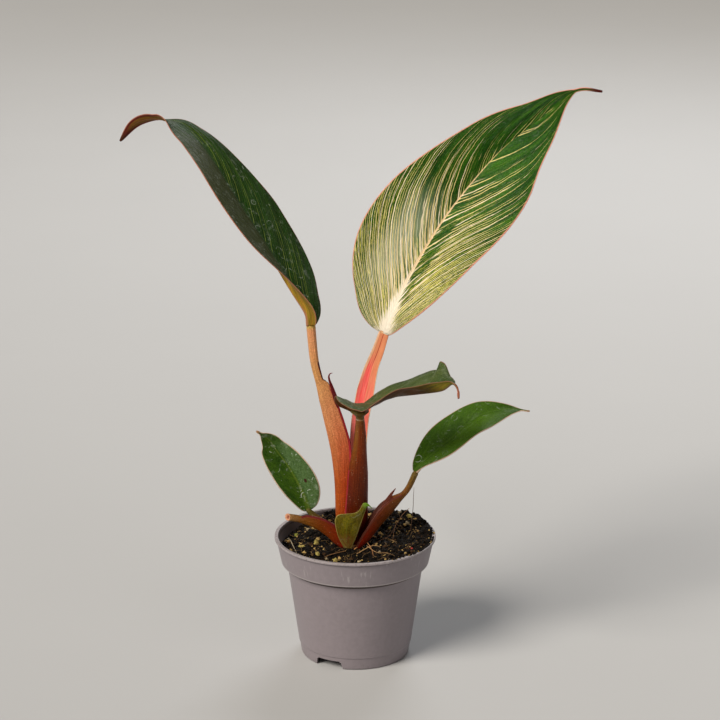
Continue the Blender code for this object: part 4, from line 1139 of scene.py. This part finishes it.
def build_pot(settings):
    """The turned pot with its rounded lip, notches in its foot and drain holes."""
    rim, tall, wall = pot_sizes()
    collar_top = rim - LIP_OVERHANG
    collar_low = collar_top - COLLAR_TAPER
    body_top = tall - COLLAR_DEPTH
    body = pot_radius
    profile = [
        (0, FLOOR_HEIGHT + wall), (body(FLOOR_HEIGHT) - wall - 0.4, FLOOR_HEIGHT + wall),
        (body(body_top) - wall, body_top - 0.8 + wall), (collar_low - wall, body_top + wall),
        (collar_top - wall, tall - LIP_DROP), (rim - 0.4 - wall, tall), (rim - 0.05, tall),
        (rim, tall - LIP_DROP), (collar_top, tall - LIP_DROP - 0.25),
        (collar_low + 0.05, body_top + 0.25), (collar_low - 0.2, body_top),
        (collar_low - 1.0, body_top + 0.12),
        (body(body_top) + 0.05, body_top + 0.15), (body(body_top), body_top - 0.6),
        (body(FOOT_HEIGHT + 0.5), FOOT_HEIGHT + 0.5),
        (body(FOOT_HEIGHT) + 0.04, FOOT_HEIGHT + 0.15), (body(FOOT_HEIGHT) - FOOT_STEP, FOOT_HEIGHT - 0.25),
        (BASE_RADIUS - FOOT_STEP + 0.05, 0.5), (BASE_RADIUS - FOOT_STEP - 0.3, 0),
        (BASE_RADIUS - FOOT_STEP - wall, 0), (body(FLOOR_HEIGHT) - FOOT_STEP - wall, FLOOR_HEIGHT),
        (0, FLOOR_HEIGHT),
    ]
    blank = new_object("pot_blank", turned("pot_blank", rounded(profile, EDGE_ROUNDING), POT_SIDES))
    cutters = [make_notch(azimuth) for azimuth in NOTCH_AZIMUTHS]
    for index in range(DRAIN_COUNT):
        angle = math.radians(NOTCH_AZIMUTHS[0] + (index + 0.5) * 360 / DRAIN_COUNT)
        cutters.append(make_drain(angle, wall))
    for cutter in cutters:
        hole = blank.modifiers.new(cutter.name, "BOOLEAN")
        hole.operation = "DIFFERENCE"
        hole.solver = "EXACT"
        hole.object = cutter
    mesh = baked(blank)
    for obj in [blank, *cutters]:
        bpy.data.objects.remove(obj)
    mesh.name = "pot"
    add_piece("pot", mesh, plastic_material(settings), ["nursery_pot"])
    mesh.set_sharp_from_angle(angle=math.radians(40))


def new_cutter(name, bm):
    """An object in the scene that takes over a shape."""
    mesh = bpy.data.meshes.new(name)
    bm.to_mesh(mesh)
    bm.free()
    return new_object(name, mesh)


def make_notch(azimuth):
    """A cutter for one notch of the foot, wider at the bottom, with its far side slanted."""
    bm = bmesh.new()
    bmesh.ops.create_cube(bm, size=1)
    for vertex in bm.verts:
        x, y, z = vertex.co
        width = NOTCH_WIDTH - NOTCH_FLARE * (z > 0)
        height = NOTCH_HEIGHT if z > 0 else -1.0
        vertex.co = Vector((BASE_RADIUS + x * NOTCH_DEPTH, y * width, height)) * MM
    upright = [e for e in bm.edges if abs(e.verts[0].co.z - e.verts[1].co.z) < 1e-6
               and e.verts[0].co.z > 0 and abs(e.verts[0].co.y - e.verts[1].co.y) < 1e-6]
    bmesh.ops.bevel(bm, geom=upright, offset=0.5 * MM, segments=3, affect="EDGES")
    cutter = new_cutter("notch", bm)
    cutter.rotation_euler.z = math.radians(azimuth)
    return cutter


def make_drain(angle, wall):
    """A round cutter for one drain hole."""
    bm = bmesh.new()
    bmesh.ops.create_cone(bm, cap_ends=True, segments=32, radius1=DRAIN_RADIUS * MM,
                          radius2=DRAIN_RADIUS * MM, depth=4 * wall * MM)
    cutter = new_cutter("drain", bm)
    cutter.location = Vector((*polar(DRAIN_RING, angle), FLOOR_HEIGHT)) * MM
    return cutter


def build_soil(settings, material):
    """The soil's crumbly surface with plain sides hidden in the pot."""
    _, tall, wall = pot_sizes()
    body_top = tall - COLLAR_DEPTH
    brim = well_radius(settings.level / MM)
    rings, sides = 66, 300
    points = [(0, 0, soil_height(0, 0))]
    for ring in range(1, rings + 1):
        for angle in circle(sides):
            x, y = polar(brim * ring / rings, angle)
            height = soil_height(x, y)
            fit = (well_radius(height) - 0.06) / brim
            points.append((x * fit, y * fit, height))
    floor = FLOOR_HEIGHT + wall + 0.3
    low = [(well_radius(body_top + wall) - 0.5, body_top + wall + 0.4),
           (pot_radius(body_top) - wall - 0.4, body_top - 0.6), (pot_radius(floor) - wall - 1.4, floor)]
    for radius, z in low:
        points += [(*polar(radius, angle), z) for angle in circle(sides)]
    points.append((0, 0, floor))
    total = rings + len(low)
    faces = [(0, 1 + i, 1 + (i + 1) % sides) for i in range(sides)]
    for ring in range(total - 1):
        at = 1 + ring * sides
        for i in range(sides):
            j = (i + 1) % sides
            faces.append((at + i, at + sides + i, at + sides + j, at + j))
    at = 1 + (total - 1) * sides
    faces += [(at + (i + 1) % sides, at + i, len(points) - 1) for i in range(sides)]
    mesh = new_mesh("soil_surface", points, faces)
    mesh.attributes.new("tone", "FLOAT_VECTOR", "POINT")
    add_piece("soil_surface", mesh, material, ["potting_soil"])


def lump(rng, size, flat, roughness, level=2):
    """Points and faces of one irregular crumb."""
    bm = bmesh.new()
    bmesh.ops.create_icosphere(bm, subdivisions=level, radius=1)
    shift = Vector((rng.uniform(0, 90), rng.uniform(0, 90), rng.uniform(0, 90)))
    stretch = Vector((rng.uniform(0.7, 1.3), rng.uniform(0.7, 1.1), rng.uniform(0.6, 0.9) * flat))
    for vertex in bm.verts:
        grow = 1 + roughness * 2 * noise.noise(vertex.co * 1.6 + shift)
        grow += roughness * noise.noise(vertex.co * 3.7 + shift)
        vertex.co = vertex.co * grow * stretch * size / 2
    turn = rng.uniform(0, 2 * math.pi)
    lean = rng.uniform(-0.5, 0.5)
    points = []
    for vertex in bm.verts:
        x, y, z = vertex.co
        y, z = y * math.cos(lean) - z * math.sin(lean), y * math.sin(lean) + z * math.cos(lean)
        points.append((x * math.cos(turn) - y * math.sin(turn), x * math.sin(turn) + y * math.cos(turn), z))
    faces = [[v.index for v in face.verts] for face in bm.faces]
    bm.free()
    return points, faces


def heap(points, faces, crumb, x, y, z):
    """Adds a crumb at a place to the points and faces of a heap."""
    start = len(points)
    points += [(x + px, y + py, z + pz) for px, py, pz in crumb[0]]
    faces += [[start + i for i in face] for face in crumb[1]]


def build_crumbs(settings, material):
    """Loose crumbs of peat, heaped to the rim at the right and back, with a few on the lip."""
    rng = random.Random(settings.seed)
    points, faces, tones = [], [], []
    for number in range(settings.crumbs):
        angle = rng.uniform(0, 2 * math.pi)
        out = CRUMB_REACH * math.sqrt(rng.uniform(0.01, 1))
        x, y = polar(out, angle)
        size = settings.crumb_size / MM * min(2.4, rng.lognormvariate(0, 0.42))
        if math.hypot(x - CROWN[0], y - CROWN[1]) < BARE_CROWN:
            continue
        out = min(out, well_radius(soil_height(x, y, 0)) - size * 0.55)
        x, y = polar(out, angle)
        height = soil_height(x, y, 0) + size * rng.uniform(0.0, 0.32)
        if number % 40 == 0:
            angle = math.radians(rng.gauss(-28, 16))
            x, y = polar(RIM_MIDDLE, angle)
            size = rng.uniform(0.4, 0.95)
            height = POT_TOP[2] / MM + size * 0.22
        crumb = lump(rng, size, 1.0, 0.5, 2 if size > 1.1 else 1)
        heap(points, faces, crumb, x, y, height)
        tones += [rng.random()] * len(crumb[0])
    mesh = new_mesh("soil_crumbs", points, faces)
    keep(mesh, "tone", np.repeat(tones, 3))
    add_piece("soil_crumbs", mesh, material)


def build_bits(settings):
    """Bark, perlite and moss bits half sunk in the soil, one piece for each kind."""
    rng = random.Random(settings.seed + 1)
    for kind, colour in BIT_COLOURS.items():
        points, faces = [], []
        for x, y, size, own in BITS:
            if own != kind:
                continue
            bit = lump(rng, 0.85 * size, 0.6 if kind == "chip" else 0.9, 0.48)
            heap(points, faces, bit, x, y, soil_height(x, y) + size * 0.2)
        material = fibre_material(f"{kind}_bits", shaded(colour, 0.6), colour, 0.8)
        add_piece(f"bits_{kind}", new_mesh(f"bits_{kind}", points, faces), material)


def tube_rings(route, radius, taper=0.35, around=10, step=0.5):
    """Rings of points of a thin tube through a route."""
    length = sum(math.dist(a, b) for a, b in zip(route, route[1:]))
    count = max(6, int(length / step))
    path = smooth_path(route, count)
    tangent = unit(np.gradient(path, axis=0))
    side = unit(np.cross(tangent, (0.31, 0.21, 0.93)))
    over = np.cross(side, tangent)
    angle = circle(around)
    s = np.linspace(0, 1, count)
    girth = radius * (1 - (1 - taper) * s) * np.sqrt(np.clip(1.02 - np.abs(2 * s - 1) ** 14, 0, 1))
    return sweep(path, side, over, girth[:, None] * np.cos(angle), girth[:, None] * np.sin(angle))


def build_roots():
    """Surface roots and fibres that lie over the soil, and one hair-thin thread that stands up."""
    for index, (route, radius, colour) in enumerate(ROOTS):
        laid = [(x, y, soil_height(x, y) + lift + radius * 0.3) for x, y, lift in route]
        mesh = loft(f"surface_root_{index}", tube_rings(laid, radius))
        material = fibre_material(f"root_bark_{index}", shaded(colour, 0.55), colour, 0.6)
        add_piece(f"surface_root_{index}", mesh, material)
    thread = fibre_material("thread_fibre", (0.08, 0.04, 0.02), (0.17, 0.09, 0.05), 0.6)
    add_piece("standing_thread", loft("standing_thread", tube_rings(THREAD, 0.15, 0.5, 6)),
              thread)


def build_fibres(settings):
    """Thin fibres tangled into the soil's surface, as one piece."""
    rng = random.Random(settings.seed + 2)
    points, faces = [], []
    for _ in range(settings.fibres):
        angle, out = rng.uniform(0, 2 * math.pi), FIBRE_START * math.sqrt(rng.uniform(0.08, 1))
        x, y = polar(out, angle)
        turn = rng.uniform(0, 2 * math.pi)
        wide = rng.uniform(1.0, 2.1)
        route = []
        for step in range(4):
            reach = min(1.0, FIBRE_REACH / max(0.1, math.hypot(x, y)))
            x, y = x * reach, y * reach
            route.append((x, y, soil_height(x, y) + (0.1, 0.8, 0.6, -0.1)[step] * rng.uniform(0.6, 1.4)))
            turn += rng.uniform(-0.55, 0.55)
            x, y = x + wide * math.cos(turn), y + wide * math.sin(turn)
        rings = tube_rings(route, rng.uniform(0.035, 0.085), 0.6, 5, 0.7)
        faces += skin_faces(*rings.shape[:2], len(points))
        points += rings.reshape(-1, 3).tolist()
    mesh = new_mesh("soil_fibres", points, faces)
    material = fibre_material("peat_fibre", (0.09, 0.045, 0.018), (0.42, 0.26, 0.11), 0.75)
    add_piece("soil_fibres", mesh, material)


def build_blade(name, leaf, settings):
    """A thin blade with its midrib, rounded margin and the relief between its side veins."""
    length = blade_length(leaf)
    rows = max(60, int(settings.rows * length / LONG_BLADE))
    columns = max(20, int(rows * 0.36) // 2 * 2)
    across = np.linspace(-1, 1, columns + 1)
    t = np.sign(across) * np.abs(across) ** 1.25
    s = np.linspace(0, 1, rows + 1)
    upper, half = blade_surface(leaf, s, t)
    normal = grid_normals(upper)
    from_rib = np.linalg.norm(upper - upper[:, columns // 2][:, None], axis=-1)
    to_edge = half * (1 - np.abs(t))[None, :]
    phase = s[:, None] - 0.3 * np.abs(t)[None, :] - 0.1 * t[None, :] ** 2
    calm = np.clip(half / 6, 0, 1) * np.clip(to_edge / 3, 0, 1) * np.clip(from_rib / 2, 0, 1)
    quilt = 0.10 * np.sin(2 * math.pi * 13 * phase * length / LONG_BLADE) * calm
    crest = 0.16 * (1 - s)[:, None] * np.exp(-((from_rib / 0.9) ** 2))
    furrow = 0.10 * np.exp(-(((from_rib - 1.6) / 0.8) ** 2)) * calm
    upper = upper + normal * (quilt + crest - furrow)[..., None]
    thick = settings.thickness / MM * (0.6 + 0.4 * np.clip(to_edge / 1.5, 0, 1))
    thick = thick + leaf["rib"] * (1 - s)[:, None] * np.exp(-((from_rib / 1.3) ** 2))
    lower = upper - normal * thick[..., None]
    ends = []
    for column, sign in ((columns, 1), (0, -1)):
        out = unit(upper[:, column] - upper[:, column - sign])
        ends.append(0.5 * (upper[:, column] + lower[:, column]) + out * thick[:, column, None] * 0.5)
    rings = np.hstack([upper, ends[0][:, None], lower[:, ::-1], ends[1][:, None]])
    face = np.r_[np.ones(columns + 1), 0.5, np.zeros(columns + 1), 0.5]
    along = s[:, None]
    edge = np.hstack([to_edge, 0 * along, to_edge[:, ::-1], 0 * along])
    rib = np.hstack([from_rib, half[:, -1:], from_rib[:, ::-1], half[:, :1]])
    mesh = loft(f"{name}_leaf", rings, place=(along, np.r_[t, 1, t[::-1], -1], face),
                reach=(edge, rib, along * length))
    add_piece(f"{name}_leaf", mesh, leaf_material(name, LEAF_LOOKS[name], settings), [name])


def build_stalk(name, stalk, settings):
    """A leaf stalk with its winged, channelled sheath, its foot sunk a little into the soil."""
    spine = stalk["spine"]
    length = sum(math.dist(a, b) for a, b in zip(spine, spine[1:]))
    count = int(length / 0.8)
    s = np.linspace(0, 1, count)
    path = smooth_path(spine, count)
    cut_end = name == "cut_petiole"
    tangent, side, facing = frames(path, stalk["face"], 0 * s)
    keys = np.array(stalk["sections"])
    half, back, channel, lift = (np.interp(s, keys[:, 0], keys[:, k])[:, None] for k in (1, 2, 3, 4))
    angle = np.linspace(0, math.pi, 26)[None, :]
    wings = lift * np.cos(angle) ** 2
    thick = settings.wing / MM * (0.55 + 0.45 * np.sin(angle)) / 2
    outer = wings - back * np.sin(angle) - thick
    inner = wings - channel * np.sin(angle) + thick
    flat = half * np.cos(angle)
    tip = thick[:, :1]
    across = np.hstack([flat, flat[:, -1:] - tip, flat[:, ::-1], flat[:, :1] + tip])
    up = np.hstack([outer, wings[:, -1:], inner[:, ::-1], wings[:, :1]])
    points = sweep(path, side, facing, across, up)
    below = (FOOT_LEVEL - SUNK - points[0, :, 2]) / tangent[0, 2]
    points[0] += below[:, None] * tangent[0]
    deep = 1.0 * (half > 1.7)
    inside = np.hstack([0 * outer, 0.5 * deep, deep * np.ones_like(inner), 0.5 * deep])
    bare = 2.0 * (lift < 0.25)
    from_tip = half * (1 - np.abs(np.cos(angle))) + lift * (1 - np.cos(angle) ** 2) + bare
    edge = np.hstack([from_tip, bare, from_tip[:, ::-1], bare])
    sideways = np.broadcast_to(np.cos(angle), outer.shape)
    sideways = np.hstack([sideways, -1 + 0 * bare, sideways[:, ::-1], 1 + 0 * bare])
    middle = points[-1].mean(axis=0)
    if cut_end:
        slant = (points[count - 1] - middle) @ np.array(CUT_SLANT)
        points[count - 1] += tangent[-1] * slant[:, None]
    for scale, forth, core in STALK_ENDS.get(name, STALK_ENDS["others"]):
        last = middle + (points[count - 1] - middle) * scale + tangent[-1] * forth
        points = np.concatenate([points, last[None]])
        s = np.append(s, 1.0)
        inside = np.vstack([inside, 0 * inside[-1:]])
        edge = np.vstack([edge, 0 * edge[-1:] + 2.0])
        sideways = np.vstack([sideways, sideways[count - 1] if not cut_end else 0 * sideways[-1] + core])
    around, along = np.linspace(0, 1, points.shape[1]), s[:, None]
    mesh = loft(f"{name}_stalk", points, place=(along, around, inside),
                reach=(edge, along * length, sideways))
    add_piece(f"{name}_stalk", mesh, stalk_material(name, STALK_LOOKS[name], settings), [name])


def build_sheath_tip(name, stalk, route, width):
    """A free, hooked tip of a sheath: a thin ribbon that narrows to a point."""
    count = 28
    path = smooth_path(route, count)
    s = np.linspace(0, 1, count)
    _, side, facing = frames(path, (0, -1, 0.2), 0 * s)
    angle = circle(16)
    half = (width / 2 * np.minimum(0.2 + 3 * s, 1) * (1 - s) ** 0.8 + 0.08)[:, None]
    across = half * np.cos(angle)[None, :]
    up = (0.16 + 0.12 * (1 - s))[:, None] * np.sin(angle)[None, :] + 0.25 * across**2
    points = sweep(path, side, facing, across, up)
    mesh = loft(name, points, place=(0.5, angle / 6.3, np.sin(angle) > 0),
                reach=(half - np.abs(across), s[:, None] * 10, across / half))
    add_piece(name, mesh, bpy.data.materials[f"{stalk}_skin"])


def aim(subject, place, target):
    """Puts a light or camera at a place and turns it to its target."""
    subject.location = place
    subject.rotation_euler = (target - place).to_track_quat("-Z", "Y").to_euler()


class PHILODENDRON_OT_make_pot(bpy.types.Operator):
    """Make the nursery pot"""
    bl_idname = "philodendron.make_pot"
    bl_label = "Make Pot"

    def execute(self, context):
        build_pot(context.scene.philodendron_pot)
        return {"FINISHED"}


class PHILODENDRON_OT_make_soil(bpy.types.Operator):
    """Make the soil with its crumbs, bits, roots and fibres"""
    bl_idname = "philodendron.make_soil"
    bl_label = "Make Soil"

    def execute(self, context):
        settings = context.scene.philodendron_soil
        peat = soil_material(settings)
        build_soil(settings, peat)
        build_crumbs(settings, peat)
        build_bits(settings)
        build_roots()
        build_fibres(settings)
        return {"FINISHED"}


class PHILODENDRON_OT_make_stem(bpy.types.Operator):
    """Give the stem and its roots their bark"""
    bl_idname = "philodendron.make_stem"
    bl_label = "Make Stem"

    def execute(self, context):
        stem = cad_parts["stem_and_roots"]
        bark = fibre_material("stem_bark", (0.13, 0.06, 0.02), (0.34, 0.17, 0.07), 0.65)
        for place in stem.material_slots:
            place.material = bark
        return {"FINISHED"}


class PHILODENDRON_OT_make_stalks(bpy.types.Operator):
    """Make the leaf stalks and the free tips of their sheaths"""
    bl_idname = "philodendron.make_stalks"
    bl_label = "Make Stalks"

    def execute(self, context):
        settings = context.scene.philodendron_stalk
        for name, stalk in STALKS.items():
            build_stalk(name, stalk, settings)
        for name, (stalk, route, width) in SHEATH_TIPS.items():
            build_sheath_tip(name, stalk, route, width)
        return {"FINISHED"}


class PHILODENDRON_OT_make_blades(bpy.types.Operator):
    """Make the five blades and the cataphyll"""
    bl_idname = "philodendron.make_blades"
    bl_label = "Make Blades"

    def execute(self, context):
        for name, leaf in BLADES.items():
            build_blade(name, leaf, context.scene.philodendron_leaf)
        return {"FINISHED"}


class PHILODENDRON_OT_make_stage(bpy.types.Operator):
    """Make the floor, the soft lights and the camera"""
    bl_idname = "philodendron.make_stage"
    bl_label = "Make Stage"

    def execute(self, context):
        settings = context.scene.philodendron_stage
        scene = context.scene
        far = FLOOR_REACH / MM
        corners = [(-far, -far, 0), (far, -far, 0), (far, far, 0), (-far, far, 0)]
        mesh = new_mesh("floor", corners, [(0, 1, 2, 3)])
        floor = new_object("floor", mesh)
        material, tree, shader = new_material("floor_card", 0.85)
        mottle = tree.noise(tree.place_mm(), 0.01, 3.0)
        colour = tree.mix(mottle, shaded(settings.floor, 0.97), tuple(settings.floor))
        tree.feed(shader.inputs["Base Color"], colour)
        mesh.materials.append(material)

        world = bpy.data.worlds.new("studio")
        world.use_nodes = True
        sky = world.node_tree.nodes["Background"].inputs
        sky["Color"].default_value = (1.0, 0.97, 0.93, 1)
        sky["Strength"].default_value = 0.12
        scene.world = world
        target = Vector(VIEW_TARGET)
        for name, kind, place, size, tint in LIGHTS:
            data = bpy.data.lights.new(f"{name}_light", kind)
            if kind == "SUN":
                data.angle = size
            else:
                data.shape = "DISK"
                data.size = size
            data.energy = getattr(settings, name)
            data.color = tint
            aim(new_object(f"{name}_light", data), Vector(place), target)

        data = bpy.data.cameras.new("camera")
        data.lens = settings.lens
        data.sensor_width = 36
        data.clip_start = 0.01
        back = Vector((0, -math.cos(settings.elevation), math.sin(settings.elevation)))
        scene.camera = new_object("camera", data)
        aim(scene.camera, target + back * settings.distance, target)
        scene.view_settings.view_transform = "Standard"
        return {"FINISHED"}


GROUPS = {
    "philodendron_pot": PotSettings, "philodendron_soil": SoilSettings, "philodendron_leaf": LeafSettings,
    "philodendron_stalk": StalkSettings, "philodendron_stage": StageSettings,
}
STEPS = (
    PHILODENDRON_OT_make_pot, PHILODENDRON_OT_make_soil, PHILODENDRON_OT_make_stem,
    PHILODENDRON_OT_make_stalks, PHILODENDRON_OT_make_blades, PHILODENDRON_OT_make_stage,
)


class PHILODENDRON_PT_panel(bpy.types.Panel):
    """Lists the steps and their settings"""
    bl_label = "Philodendron"
    bl_idname = "PHILODENDRON_PT_panel"
    bl_space_type = "VIEW_3D"
    bl_region_type = "UI"
    bl_category = "Philodendron"

    def draw(self, context):
        for key, group in GROUPS.items():
            box = self.layout.box()
            for name in group.__annotations__:
                box.prop(getattr(context.scene, key), name)
        for step in STEPS:
            self.layout.operator(step.bl_idname)


CLASSES = (*GROUPS.values(), *STEPS, PHILODENDRON_PT_panel)


def register():
    """Registers the classes and the settings on the scene."""
    for cls in CLASSES:
        bpy.utils.register_class(cls)
    for key, group in GROUPS.items():
        setattr(bpy.types.Scene, key, PointerProperty(type=group))


def unregister():
    """Takes the settings and the classes away again."""
    for key in GROUPS:
        delattr(bpy.types.Scene, key)
    for cls in reversed(CLASSES):
        bpy.utils.unregister_class(cls)


def main():
    """Builds the plant and its stage."""
    register()
    bpy.ops.philodendron.make_pot()
    bpy.ops.philodendron.make_soil()
    bpy.ops.philodendron.make_stem()
    bpy.ops.philodendron.make_stalks()
    bpy.ops.philodendron.make_blades()
    bpy.ops.philodendron.make_stage()
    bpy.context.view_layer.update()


if __name__ == "__main__":
    main()
